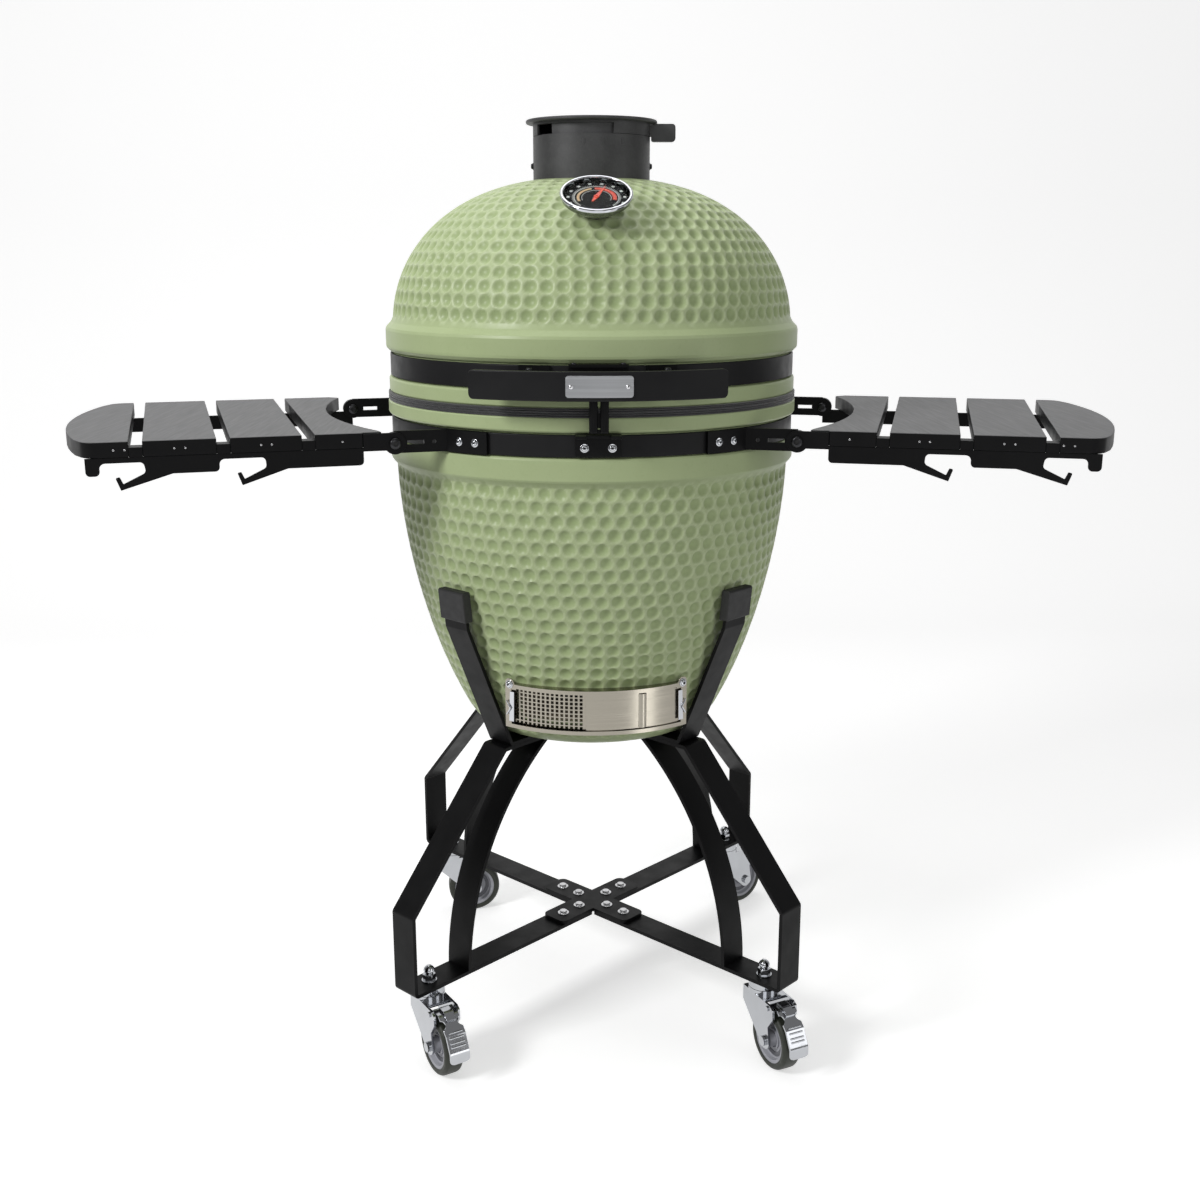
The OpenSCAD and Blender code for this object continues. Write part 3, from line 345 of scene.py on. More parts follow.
def prism(outline, t0, t1, plane="xy"):
    """A plate: outline in the plane, from t0 to t1 along its third axis."""
    put = {"xy": lambda a, b, t: (a, b, t), "xz": lambda a, b, t: (a, t, b),
           "yz": lambda a, b, t: (t, a, b)}[plane]
    n = len(outline)
    verts = [put(a, b, t0) for a, b in outline] + [put(a, b, t1) for a, b in outline]
    faces = [tuple(range(n)), tuple(range(2 * n - 1, n - 1, -1))]
    faces += [(i, (i + 1) % n, (i + 1) % n + n, i + n) for i in range(n)]
    return verts, faces


def revolve(profile, n=64, a0=0.0, a1=360.0, closed=True):
    """profile (r, z) turned about Z. A whole turn joins up, and a part turn gets end faces."""
    whole = abs(a1 - a0) >= 359.9
    steps = n if whole else n + 1
    m = len(profile)
    verts = []
    for i in range(steps):
        a = math.radians(a0 + (a1 - a0) * i / n)
        verts += [(r * math.cos(a), r * math.sin(a), z) for r, z in profile]
    faces = []
    for i in range(n):
        b, c = i * m, ((i + 1) % steps) * m
        for k in range(m if closed else m - 1):
            k2 = (k + 1) % m
            faces.append((b + k, c + k, c + k2, b + k2))
    if not whole and closed:
        faces += [tuple(range(m)), tuple(range((steps - 1) * m, steps * m))]
    return verts, faces


def tube(path, r, n=10):
    """A round wire along 3-D points, with closed ends."""
    pts = [Vector(p) for p in path]
    verts, faces = [], []
    side = None
    for i, p in enumerate(pts):
        t = (pts[min(i + 1, len(pts) - 1)] - pts[max(i - 1, 0)]).normalized()
        if side is None:
            side = t.orthogonal().normalized()
        side = (side - t * side.dot(t)).normalized()
        up = t.cross(side)
        verts += [tuple(p + side * r * math.cos(2 * math.pi * k / n) + up * r * math.sin(2 * math.pi * k / n))
                  for k in range(n)]
    for i in range(len(pts) - 1):
        for k in range(n):
            a, b = i * n + k, i * n + (k + 1) % n
            faces.append((a, b, b + n, a + n))
    faces += [tuple(range(n)), tuple(range((len(pts) - 1) * n, len(pts) * n))]
    return verts, faces


def spaced(a, b, step):
    n = max(1, int(math.ceil(abs(b - a) / step)))
    return [a + (b - a) * i / n for i in range(n + 1)]


class Piece:
    """Parts gathered into one mesh, each with its own edge rounding and material."""

    def __init__(self):
        self.bm = bmesh.new()
        self.mats = []

    def add(self, shape, mat, place=None, bevel=0.0, segments=2, angle=30.0):
        verts, faces = shape
        if mat not in self.mats:
            self.mats.append(mat)
        bm = bmesh.new()
        vs = [bm.verts.new(v) for v in verts]
        for f in faces:
            try:
                bm.faces.new([vs[i] for i in f])
            except ValueError:
                pass
        bmesh.ops.remove_doubles(bm, verts=bm.verts, dist=1e-4)
        bmesh.ops.recalc_face_normals(bm, faces=bm.faces)
        if bevel:
            round_edges(bm, bevel, segments, angle)
        if place is not None:
            bm.transform(place)
            if place.determinant() < 0:
                bmesh.ops.reverse_faces(bm, faces=bm.faces)
        for f in bm.faces:
            f.material_index = self.mats.index(mat)
        scratch = bpy.data.meshes.new("scratch")
        bm.to_mesh(scratch)
        bm.free()
        self.bm.from_mesh(scratch)
        bpy.data.meshes.remove(scratch)
        return self

    def finish(self, name, body, slot, *hides, sharp=50.0):
        me = bpy.data.meshes.new(name)
        self.bm.transform(Matrix.Scale(MM, 4))
        self.bm.to_mesh(me)
        self.bm.free()
        return register(name, me, self.mats, body, hides, sharp)


def round_edges(bm, width, segments, angle):
    limit = math.radians(angle)
    edges = [e for e in bm.edges if len(e.link_faces) == 2 and e.calc_face_angle(0) > limit]
    if edges:
        bmesh.ops.bevel(bm, geom=edges, offset=width, offset_type="OFFSET", segments=segments,
                        profile=0.5, affect="EDGES", clamp_overlap=True)


def register(name, me, mats, body, hides=(), sharp=50.0):
    for m in mats:
        me.materials.append(m)
    me.polygons.foreach_set("use_smooth", [True] * len(me.polygons))
    me.set_sharp_from_angle(angle=math.radians(sharp))
    ob = bpy.data.objects.new(name, me)
    bpy.context.scene.collection.objects.link(ob)
    weigh = ob.modifiers.new("even_shading", "WEIGHTED_NORMAL")
    weigh.keep_sharp = True
    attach(ob, body)
    if hides:
        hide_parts(*hides)
    return ob


BODY_OF = {n: b for b, ns in frame["record"]["behaviour"]["bodies"].items() for n in ns}
SLOT_OF = {s["node"]: s["material_slot"] for s in frame["record"]["subparts"]}


def rework(node, mat, bevel, segments=2, angle=30.0, shaded_side_mat=None):
    """A copy of a CAD node's shape with its flat faces joined and its edges rounded.
    The side material, where given, goes on every face that doesn't look up, as painted shade on the sides
    against the lit tops."""
    source = frame["nodes"][node].data
    bm = bmesh.new()
    bm.from_mesh(source)
    for f in bm.faces:
        f.smooth = True
    bmesh.ops.remove_doubles(bm, verts=bm.verts, dist=2e-6)
    bmesh.ops.dissolve_limit(bm, angle_limit=math.radians(1.0), verts=bm.verts, edges=bm.edges)
    bmesh.ops.recalc_face_normals(bm, faces=bm.faces)
    if bevel:
        round_edges(bm, bevel * MM, segments, angle)
    bm.normal_update()
    for f in bm.faces:
        f.material_index = 1 if shaded_side_mat and f.normal.z < 0.35 else 0
    me = bpy.data.meshes.new(node + "_finished")
    bm.to_mesh(me)
    bm.free()
    for layer in list(me.attributes):
        if layer.name == "custom_normal":
            me.attributes.remove(layer)
    mats = [mat, shaded_side_mat] if shaded_side_mat else [mat]
    return register(node + "_finished", me, mats, BODY_OF[node], (node,), 40.0)


# ---- Glazed ceramic with rows of round hollows ----

PITCH = 19.4
ROW_STEP = 16.9
HOLLOW_R = 8.1
HOLLOW_DEPTH = 4.0
COLUMNS = 840


def resample(points, step):
    """Points spaced evenly along a line of (r, z)."""
    p = np.array(points, float)
    d = np.r_[0, np.cumsum(np.hypot(*np.diff(p, axis=0).T))]
    s = np.linspace(0, d[-1], max(2, int(math.ceil(d[-1] / step)) + 1))
    return np.c_[np.interp(s, d, p[:, 0]), np.interp(s, d, p[:, 1])]


def hollows(outline, lengths, first, last, theta):
    """How deep each point lies in a hollow, from 0 to 1, and how near it is to a rim."""
    rows = []
    s = first
    while s <= last:
        rows.append((s, float(np.interp(s, lengths, outline[:, 0]))))
        s += ROW_STEP
    depth = np.zeros((len(outline), len(theta)))
    rim = np.zeros_like(depth)
    for k, (sk, rk) in enumerate(rows):
        near = np.abs(lengths - sk) < HOLLOW_R * 1.35
        count = int(round(2 * math.pi * rk / PITCH))
        phase = 0.5 * (k % 2)
        pos = theta / (2 * math.pi) * count + phase
        cell = np.round(pos)
        wobble = np.sin(cell * 12.9898 + k * 78.233) * 43758.5453
        wobble -= np.floor(wobble)
        offset = (pos - cell) * 2 * math.pi / count
        size = HOLLOW_R * (0.95 + 0.1 * wobble) * min(1.0, 0.55 + rk / 300)
        dx = outline[near, 0][:, None] * offset[None, :]
        ds = (lengths[near] - sk)[:, None] + (wobble - 0.5)[None, :] * 0.7
        q = np.sqrt(dx ** 2 + ds ** 2) / size[None, :]
        bowl = np.clip(1 - q ** 2, 0, None) ** 0.8 * (0.85 + 0.15 * wobble)[None, :]
        depth[near] = np.maximum(depth[near], bowl)
        # Nearness to a rim; the glaze turns it into a painted highlight.
        rim[near] = np.maximum(rim[near], np.exp(-((q - 1.08) / 0.12) ** 2))
    return depth, rim


def turned_ceramic(name, loop, zone, first, last, node, body, hole=None, inner_from=None):
    """A closed turned body. loop is its section, and zone the part of it with hollows."""
    loop = np.array(loop, float)
    a, b = zone
    outline = loop[a:b]
    lengths = np.r_[0, np.cumsum(np.hypot(*np.diff(outline, axis=0).T))]
    theta = np.arange(COLUMNS) / COLUMNS * 2 * math.pi
    depth, rim = hollows(outline, lengths, first, lengths[-1] - last, theta)
    along = np.gradient(outline, axis=0)
    along /= np.linalg.norm(along, axis=1)[:, None]
    inward = np.c_[-along[:, 1], along[:, 0]]
    if inward[:, 0].mean() > 0:
        inward = -inward
    m = len(loop)
    r = np.repeat(loop[:, 0][:, None], COLUMNS, 1)
    z = np.repeat(loop[:, 1][:, None], COLUMNS, 1)
    r[a:b] += inward[:, 0][:, None] * depth * HOLLOW_DEPTH
    z[a:b] += inward[:, 1][:, None] * depth * HOLLOW_DEPTH
    verts = np.stack([r * np.cos(theta), r * np.sin(theta), z], -1).reshape(-1, 3)
    i, j = np.meshgrid(np.arange(m), np.arange(COLUMNS), indexing="ij")
    i2, j2 = (i + 1) % m, (j + 1) % COLUMNS
    quads = np.stack([i * COLUMNS + j, i * COLUMNS + j2, i2 * COLUMNS + j2, i2 * COLUMNS + j], -1)
    loop_r, loop_z = loop.T
    area = 0.5 * np.sum(loop_r * np.roll(loop_z, -1) - np.roll(loop_r, -1) * loop_z)
    if area < 0:
        quads = quads[..., ::-1]
    keep = np.ones((m, COLUMNS), bool)
    extra = []
    if hole:
        (o0, o1), (n0, n1), (c0, c1) = hole
        cols = [c % COLUMNS for c in range(c0, c1)]
        keep[np.ix_(range(o0, o1), cols)] = False
        keep[np.ix_(range(n0, n1), cols)] = False
        for c in cols:
            c2 = (c + 1) % COLUMNS
            for u, v in ((o0, n1), (o1, n0)):
                quad = (u * COLUMNS + c, u * COLUMNS + c2, v * COLUMNS + c2, v * COLUMNS + c)
                extra.append(quad)
        for c in (c0 % COLUMNS, c1 % COLUMNS):
            extra.append(tuple([u * COLUMNS + c for u in range(o0, o1 + 1)]
                               + [u * COLUMNS + c for u in range(n0, n1 + 1)]))
    flat = quads[keep]
    faces = [tuple(q) for q in flat.tolist()] + extra
    me = bpy.data.meshes.new(name)
    me.from_pydata((verts * MM).tolist(), [], faces)
    full = np.zeros((m, COLUMNS))
    full[a:b] = depth
    edge = np.zeros((m, COLUMNS))
    edge[a:b] = rim
    # The glaze reads dimple to darken the hollows (partly glaze pooling, partly painted shade) and rim for a
    # painted highlight on their rims.
    for label, data in (("dimple", full), ("rim", edge)):
        layer = me.attributes.new(label, "FLOAT", "POINT")
        layer.data.foreach_set("value", data.reshape(-1).astype(np.float32))
    if inner_from is not None:
        rows = np.repeat(np.arange(m)[:, None], COLUMNS, 1)[keep]
        index = np.where((rows >= inner_from[0]) & (rows < inner_from[1]), 1, 0)
        index = np.r_[index, np.ones(len(extra), int)].astype(np.int32)
        me.polygons.foreach_set("material_index", index)
    if hole:
        bm = bmesh.new()
        bm.from_mesh(me)
        bmesh.ops.recalc_face_normals(bm, faces=bm.faces)
        bm.to_mesh(me)
        bm.free()
    return register(name, me, [GLAZE, RAW], body, (node,), 55.0)


DOME_FOOT_Z = 935
BOWL_TOP_Z = 765


def dome_curve(r, rise, a0, a1, n):
    return [(r * math.cos(math.radians(a)) ** 0.8, DOME_FOOT_Z + rise * math.sin(math.radians(a)))
            for a in [a0 + (a1 - a0) * i / n for i in range(n + 1)]]


def bowl_curve(r, drop, a0, a1, n):
    return [(r * math.cos(math.radians(a)), BOWL_TOP_Z - drop * math.sin(math.radians(a)) ** 1.176)
            for a in [a0 + (a1 - a0) * i / n for i in range(n + 1)]]


def make_dome():
    low = rounded([(235, 852.55), (261.5, 852.55), (263.5, 854.55), (263.5, 871), (257.5, 872.2),
                   (257.5, 901.8), (262, 904), (266, 908), (266.5, 911), (266.5, 930), (265.5, 933.5),
                   (259.2, 940), (256.9, 946)], [0, 2, 2, 3, 1, 1, 3, 2, 3, 3, 3, 4, 0], 4)
    top = math.degrees(math.acos((76 / 257) ** 1.25))
    dome = resample(dome_curve(257, 183, 3.4, top, 400), 1.85)
    crown_z = dome[-1][1]
    crown = rounded([tuple(dome[-2]), (74.6, crown_z + 0.2), (58, crown_z + 0.2), (58, crown_z - 10)],
                    [0, 1.2, 2, 0], 3)[1:-1]
    inner_top = math.degrees(math.acos((58 / 231) ** 1.25))
    inner = dome_curve(231, 157, 0, inner_top, 24)[::-1]
    loop = low[:-1] + [tuple(p) for p in dome] + crown + inner + [(233, 900)]
    a = len(low) - 1
    b = a + len(dome)
    return turned_ceramic("glazed_dome", loop, (a, b), 9.0, 7.0, "dome_lid", "lid",
                          inner_from=(b + len(crown) - 1, len(loop)))


DRAFT_HOLE_Z = (451.0, 494.0)
DRAFT_HOLE_ANGLES = (240, 300)
FLOOR_POINTS = 4


def nearest(points, z):
    """The index of the point whose height is nearest to z."""
    return int(np.argmin(np.abs(points[:, 1] - z)))


def make_bowl():
    rim = rounded([(229, 841.95), (264.5, 841.95), (265.5, 840.4), (265.5, 827), (264, 825), (257.5, 823),
                   (257.5, 795), (262.5, 794.6), (264, 792), (264, 768.5), (262.4, 765.8), (258.2, 762.6)],
                  [2, 1, 1, 2, 2, 1, 1, 2, 2, 2.5, 2, 0], 4)
    curve = bowl_curve(257, 472, 1.2, 48.4, 400)
    foot = arc(134, 447, 40, -33.5, -76, 12)
    body = resample([c for c in curve if c[1] < 761.5] + foot[1:], 1.9)
    for z in DRAFT_HOLE_Z:
        k = nearest(body, z)
        body[k, 0] = np.interp(z, body[::-1, 1], body[::-1, 0])
        body[k, 1] = z
    base = [(134, 407), (70, 407), (0.02, 407)]
    inner = [(0.02, 437), (70, 437), (145, 437), (149, 440)]
    inner += [c for c in bowl_curve(229, 450, 0, 47.4, 60)[::-1] if c[1] > 442]
    inner = np.array(inner)
    for z in DRAFT_HOLE_Z:
        k = FLOOR_POINTS + nearest(inner[FLOOR_POINTS:], z)
        inner[k, 1] = z
    loop = rim[:-1] + [tuple(p) for p in body] + base + [tuple(p) for p in inner]
    a = len(rim) - 1
    b = a + len(body)
    start = b + len(base)
    hole_low, hole_high = DRAFT_HOLE_Z
    outer_rows = (a + nearest(body, hole_high), a + nearest(body, hole_low))
    inner_rows = (start + nearest(inner, hole_low), start + nearest(inner, hole_high))
    columns = tuple(int(round(COLUMNS * angle / 360)) for angle in DRAFT_HOLE_ANGLES)
    return turned_ceramic("glazed_bowl", loop, (a, b), 8.0, 22.0, "fire_bowl", "stand",
                          hole=(outer_rows, inner_rows, columns), inner_from=(start, len(loop)))


make_dome()
make_bowl()


# ---- Gaskets and bands ----

def gasket(name, z0, z1, body, node):
    h = z1 - z0
    edge = []
    for k in range(2):
        c = z0 + h * (0.27 + 0.46 * k)
        edge += arc(264.0, c, h * 0.25, -80, 80, 8)
    outline = [(237, z0), (258, z0)] + edge + [(258, z1), (237, z1)]
    Piece().add(revolve(outline, 180), FELT).finish(name, body, "felt_black", node, sharp=70)


gasket("lid_gasket", 847.5, 852.5, "lid", "upper_gasket")
gasket("base_gasket", 842.0, 847.0, "stand", "lower_gasket")


def band(name, z0, z1, r, body, node):
    outline = rounded(box_outline(257.75, z0, r, z1), [0.3, 1.3, 1.3, 0.3], 4)
    Piece().add(revolve(outline, 200), SATIN).finish(name, body, "powder_black", node)


band("lid_band_steel", 873, 901, 261.5, "lid", "lid_band")
band("base_band_steel", 796, 822, 262.0, "stand", "base_band")


# ---- Handle, name plate ----

def curved_plate(r0, r1, half_angle, z0, z1, corner, edge, step=0.6):
    """A plate bent about Z at the front, with rounded corners and rounded edges."""
    zm, hh = (z0 + z1) / 2, (z1 - z0) / 2
    reach = math.radians(half_angle) * r1
    stops = [-reach + corner * (1 - math.cos(math.radians(q))) for q in (0, 15, 30, 45, 60, 75, 90)]
    inner = [math.degrees(s / r1) for s in stops]
    angles = inner + spaced(inner[-1], -inner[-1], step)[1:-1] + [-x for x in reversed(inner)]
    verts, faces = [], []
    for a in angles:
        d = reach - abs(math.radians(a)) * r1
        cut = corner - math.sqrt(max(0.0, corner ** 2 - max(0.0, corner - d) ** 2)) if d < corner else 0.0
        h = hh - cut
        ring = rounded(box_outline(r0, zm - h, r1, zm + h), edge, 3)
        m = len(ring)
        c, s = math.cos(math.radians(a - 90)), math.sin(math.radians(a - 90))
        verts += [(r * c, r * s, z) for r, z in ring]
    for i in range(len(angles) - 1):
        for k in range(m):
            k2 = (k + 1) % m
            faces.append((i * m + k, (i + 1) * m + k, (i + 1) * m + k2, i * m + k2))
    faces += [tuple(range(m)), tuple(range((len(angles) - 1) * m, len(angles) * m))]
    return verts, faces


Piece().add(curved_plate(300, 308, 28.5, 865, 898, 5.0, 1.6), SATIN).finish(
    "handle_grip", "lid", "powder_black", "handle_bar", sharp=60)
plate = Piece().add(curved_plate(308.2, 309.5, 7.0, 869.5, 893.5, 3.2, 0.35, 0.4), PLATE)
for s in (-1, 1):
    here = turn(s * 5.9) @ at(0, -309.4, 881.5) @ turn(90, "X")
    plate.add(revolve([(0, 1.5), (1.3, 1.3), (2.3, 0.7), (2.7, 0), (2.7, -1), (0, -1)], 20), ZINC, here)
    # Dark dot in the rivet's hole: painted shade.
    plate.add(revolve([(0, 1.7), (0.8, 1.7), (0.8, 1.2), (0, 1.2)], 12), DARK, here)
plate.finish("blank_plate", "lid", "stainless", "name_plate", sharp=40)

# ---- Bolts ----

RIGHT = turn(-15)
LEFT = Matrix.Scale(-1, 4, (1, 0, 0)) @ RIGHT


def facing_front(x, y, z):
    return at(x, y, z) @ turn(90, "X")


def facing_out(angle, r, z):
    return turn(angle) @ at(r, 0, z) @ turn(90, "Y")


def bolt_head(piece, place, r, h, mat=CHROME, washer=0.0):
    """A round head with a socket whose floor is painted shade, standing on z = 0 of its place."""
    if washer:
        piece.add(revolve([(0, 0), (washer, 0), (washer, 0.6), (washer - 0.4, 0.9), (0, 0.9)], 28),
                  mat, place)
    dome = [(r * (0.5 + 0.5 * math.cos(q)), h * (0.5 + 0.5 * math.sin(q)))
            for q in [math.pi / 2 * k / 5 for k in range(6)]]
    socket = 0.46 * r
    floor = h - min(1.2, 0.5 * h)
    piece.add(revolve([(0, 0), (r, 0)] + dome + [(socket, h), (socket, floor), (0, floor)], 28), mat, place)
    # Black disc on the socket floor: painted shade in the socket.
    piece.add(revolve([(0, floor + 0.02), (socket * 0.97, floor + 0.02), (socket * 0.97, floor + 0.1),
                       (0, floor + 0.1)], 6), DARK, place)


heads = Piece()
for s in (-1, 1):
    bolt_head(heads, facing_front(s * 16, -266.5, 808), 3.5, 3.3, washer=5.0)
    for b in (2.4, 6.2):
        bolt_head(heads, facing_out(90 + s * b, 266, 809), 4.2, 3.6, washer=5.2)
for side in (RIGHT, LEFT):
    for a in (-37.5, -42.5, 69.5, 73.5):
        bolt_head(heads, side @ facing_out(a, 266.5, 809), 3.5, 3.3, washer=5.0)
    for v, way in ((-150.4, 90), (-139.9, -90), (237.1, 90), (247.4, -90)):
        bolt_head(heads, side @ at(285, v, 808) @ turn(way, "X"), 6.6, 4.2, SCREW)
    for v0, v1 in ((-150.5, -139.8), (237.0, 247.5)):
        heads.add(prism(arc(285, 808, 4, 0, 360, 20)[:-1], v0, v1, "xz"), ZINC, side)
heads.finish("base_bolt_heads", BODY_OF["base_bolts"], SLOT_OF["base_bolts"], "base_bolts", sharp=40)

heads = Piece()
for s in (-1, 1):
    bolt_head(heads, facing_front(s * 28, -266, 888), 3.4, 2.9, washer=4.6)
    bolt_head(heads, facing_out(-90 + s * 19.4, 264.5, 887), 4.2, 3.6, washer=5.2)
    bolt_head(heads, facing_out(90 + s * 5, 265.5, 887), 4.2, 3.6, washer=5.2)
    bolt_head(heads, facing_out(0 if s > 0 else 180, 74, 1131), 3.4, 3.0, SCREW, washer=4.4)
    bolt_head(heads, turn(s * 16) @ at(0, -283, 894.9), 4.0, 4.8, SCREW, washer=5.2)
    bolt_head(heads, at(s * 28, -272, 902.9), 3.0, 2.4, SCREW)
heads.finish("lid_bolt_heads", BODY_OF["lid_bolts"], SLOT_OF["lid_bolts"], "lid_bolts", sharp=40)


# ---- Latch ----

latch = Piece()
for x in (-6.3, 6.3):
    latch.add(revolve([(0, 828), (3.9, 828), (4.9, 829.4), (4.9, 888), (3.8, 890.6), (0, 891)], 28), BLACK,
              at(x, -287, 0) @ Matrix.Diagonal((1.0, 0.61, 1.0, 1.0)))
latch.add(tube([(-23, -287, 885), (23, -287, 885)], 3, 18), BLACK)
latch.add(prism(box_outline(-11, -286, 11, -279), 827, 831), BLACK, bevel=0.5)
latch.add(prism(box_outline(-10, -284.4, 10, -282.6), 833, 850), BLACK, bevel=0.4)
latch.finish("latch_rods", BODY_OF["lid_latch"], SLOT_OF["lid_latch"], "lid_latch", sharp=40)


# ---- Thermometer ----

THERMO = at(0, -190, 1068.6) @ turn(30, "X")
DIAL_Z = 20.0

shell = Piece()
shell.add(revolve([(0, 3.9), (19.4, 3.9), (36.0, 15.0), (39.4, 18.0), (40.4, 22.6), (38.2, 22.6),
                   (38.2, 19.2), (0, 19.2)], 96), CASE, THERMO)
shell.add(revolve(rounded(box_outline(37.9, 22.3, 42.0, 27.0), [0.6, 1.2, 1.7, 1.5], 5), 96), CHROME, THERMO)
# Black disc under the case: painted shade where the case meets the dome.
shell.add(revolve([(0, 2.2), (18.6, 2.2), (19.2, 2.8), (19.2, 4.6), (0, 4.6)], 8), DARK, THERMO, bevel=0.3)
shell.finish("thermometer_shell", "lid", SLOT_OF["thermometer_case"], "thermometer_case", sharp=40)


def dial_arc(r0, r1, start, stop, lift):
    """A flat arc on the dial; angles run clockwise from the top."""
    return revolve(box_outline(r0, DIAL_Z, r1, DIAL_Z + lift), 40, 90 - stop, 90 - start)


def dial_mark(r, angle, w, length, lift=0.25):
    return (prism(box_outline(-w / 2, r - length / 2, w / 2, r + length / 2), DIAL_Z, DIAL_Z + lift),
            THERMO @ turn(-angle))


dial = Piece()
dial.add(revolve([(0, 19.3), (37.7, 19.3), (37.7, DIAL_Z), (0, DIAL_Z)], 96), DIAL, THERMO)
dial.add(dial_arc(25.2, 25.9, -135, 135, 0.2), INK_WHITE, THERMO)
for k in range(55):
    shape, place = dial_mark(27.1, -135 + 5 * k, 0.5, 2.2)
    dial.add(shape, INK_WHITE, place)
for k in range(12):
    shape, place = dial_mark(32.4, -137.5 + 25 * k, 3.6, 3.2)
    dial.add(shape, INK_WHITE, place)
dial.add(dial_arc(19.6, 22.6, -112, -14, 0.25), INK_CREAM, THERMO)
dial.add(dial_arc(18.8, 23.4, -4, 104, 0.25), INK_RED, THERMO)
dial.add(dial_arc(16.6, 17.1, -112, 112, 0.2), INK_WHITE, THERMO)
dial.add(tube([(0, 0, 19.8), (0, 0, 20.8)], 1.2, 14), SCREW, THERMO)
dial.finish("thermometer_face", "lid", SLOT_OF["thermometer_dial"], "thermometer_dial", sharp=40)

needle = Piece()
pointer = [(0, 29), (-2.7, 1.5), (-2.0, -5), (-1.1, -12), (1.1, -12), (2.0, -5), (2.7, 1.5)]
needle.add(prism(pointer, 21, 21.7), NEEDLE, THERMO @ turn(-24), bevel=0.15)
needle.add(revolve([(1.4, 21.5), (3.4, 21.5), (3.4, 22.1), (2.8, 22.5), (1.4, 22.5)], 24), NEEDLE, THERMO)
needle.finish("thermometer_pointer", BODY_OF["thermometer_needle"], SLOT_OF["thermometer_needle"],
              "thermometer_needle", sharp=40)
glass = Piece().add(revolve([(0, 24), (37.8, 24), (37.8, 24.6), (30, 25.1), (15, 25.4), (0, 25.5)], 96),
                    GLASS, THERMO)
glass.finish("thermometer_lens", "lid", SLOT_OF["thermometer_glass"], "thermometer_glass", sharp=60)


# ---- Side shelves ----

def shelf_front_plate():
    """The front rail in u and z: an arm at the pivot, a web with two notches, hooks and an end tab."""
    corners = [(285, 820.5, 0), (285, 800, 0), (322, 800, 0), (322, 784, 5), (409, 784, 3),
               (461, 767, 0.8),
               (466, 781, 1.2), (461.5, 782, 1.2), (458, 774, 0.8), (433, 786, 5), (434, 798, 5),
               (485, 798, 6),
               (485, 784, 5), (536, 784, 3), (593, 767, 0.8), (598, 781, 1.2), (593.5, 782, 1.2),
               (590, 774, 0.8), (565, 786, 5), (567, 798, 5), (614, 798, 6), (614, 784, 5), (629, 784, 5),
               (629, 804, 0), (322, 804, 0), (322, 820.5, 1)]
    return rounded([c[:2] for c in corners], [c[2] for c in corners], 5)


for label, side in (("left", LEFT), ("right", RIGHT)):
    rails = Piece()
    rails.add(prism(shelf_front_plate(), -150, -146, "xz"), BLACK, side, bevel=0.5)
    rails.add(prism(rounded(box_outline(285, 785, 616, 804), [0, 5, 0, 0], 5), 243, 247, "xz"), BLACK, side,
              bevel=0.5)
    for v in (-150, 243):
        rails.add(prism(arc(285, 808, 13, 0, 360, 48)[:-1], v - 0.05, v + 4.05, "xz"), BLACK, side, bevel=0.5)
    for u in (377, 472, 567):
        rails.add(prism(box_outline(u, 804, u + 15, 815), -150, -128, "xz"), BLACK, side, bevel=0.5)
    node = f"{label}_shelf_rails"
    rails.finish(f"{label}_rails", BODY_OF[node], SLOT_OF[node], node, sharp=40)
    node = f"{label}_shelf_slats"
    screws = Piece()
    for u in (346, 426, 438, 521, 533, 586, 598):
        bolt_head(screws, side @ facing_front(u, -150, 812.5), 1.15, 0.6, ZINC)
    screws.finish(f"{label}_slat_screws", BODY_OF[node], SLOT_OF[node], sharp=40)

# Slats: lit tops and shaded sides, painted light and shade by which way each face looks.
rework("left_shelf_slats", SLAT_L, 1.2, 3, shaded_side_mat=SLAT_SHADED_SIDES)
rework("right_shelf_slats", SLAT_R, 1.2, 3, shaded_side_mat=SLAT_SHADED_SIDES)


# ---- Draft vent ----

VENT = at(0, -39, 0)


def arc_plate(r0, r1, a0, a1, z0, z1, n=12):
    """A sheet about the vent's axis; angles are measured from the front, positive to the right."""
    return revolve(box_outline(r0, z0, r1, z1), n, -90 + a0, -90 + a1)


def bent_sheet(corners, r0, r1):
    """A sheet round the vent's axis; corners are (angle from the front, z), in turn."""
    verts = [(r * math.sin(math.radians(a)), -r * math.cos(math.radians(a)), z)
             for r in (r0, r1) for a, z in corners]
    n = len(corners)
    faces = [tuple(range(n)), tuple(range(n, 2 * n))]
    faces += [(k, (k + 1) % n, n + (k + 1) % n, n + k) for k in range(n)]
    return verts, faces


rework("vent_frame", STEEL, 0.5)
trim = Piece()
for s in (-1, 1):
    ring = rounded([(104.0, 494.0), (121.4, 494.0), (121.4, 508.0), (110.0, 508.0)], [0, 0, 6.5, 5], 6)
    verts, faces = prism(ring, 178.05, 179.55)
    bent = [(t * math.sin(s * w / 176.0), -t * math.cos(w / 176.0), z) for w, z, t in verts]
    trim.add((bent, faces), STEEL, VENT, bevel=0.35)
    bolt_head(trim, VENT @ facing_out(-90 + s * 37.3, 179.5, 500.5), 4.3, 3.0, washer=5.4)
    strip = [(s * 34.9, 491.5), (s * 36.9, 491.5), (s * 37.5, 452.5), (s * 35.1, 452.5)]
    trim.add(bent_sheet(strip, 179.7, 180.6), CHROME, VENT, bevel=0.25)
    clip = [(s * 38.4, 479, 181.2), (s * 36.4, 470, 182.2), (s * 38.4, 461, 181.2)]
    trim.add(tube([(r * math.sin(math.radians(a)), -r * math.cos(math.radians(a)), z) for a, z, r in clip],
                  1.0, 10), CHROME, VENT)
trim.finish("vent_ears", BODY_OF["vent_frame"], SLOT_OF["vent_frame"], sharp=40)

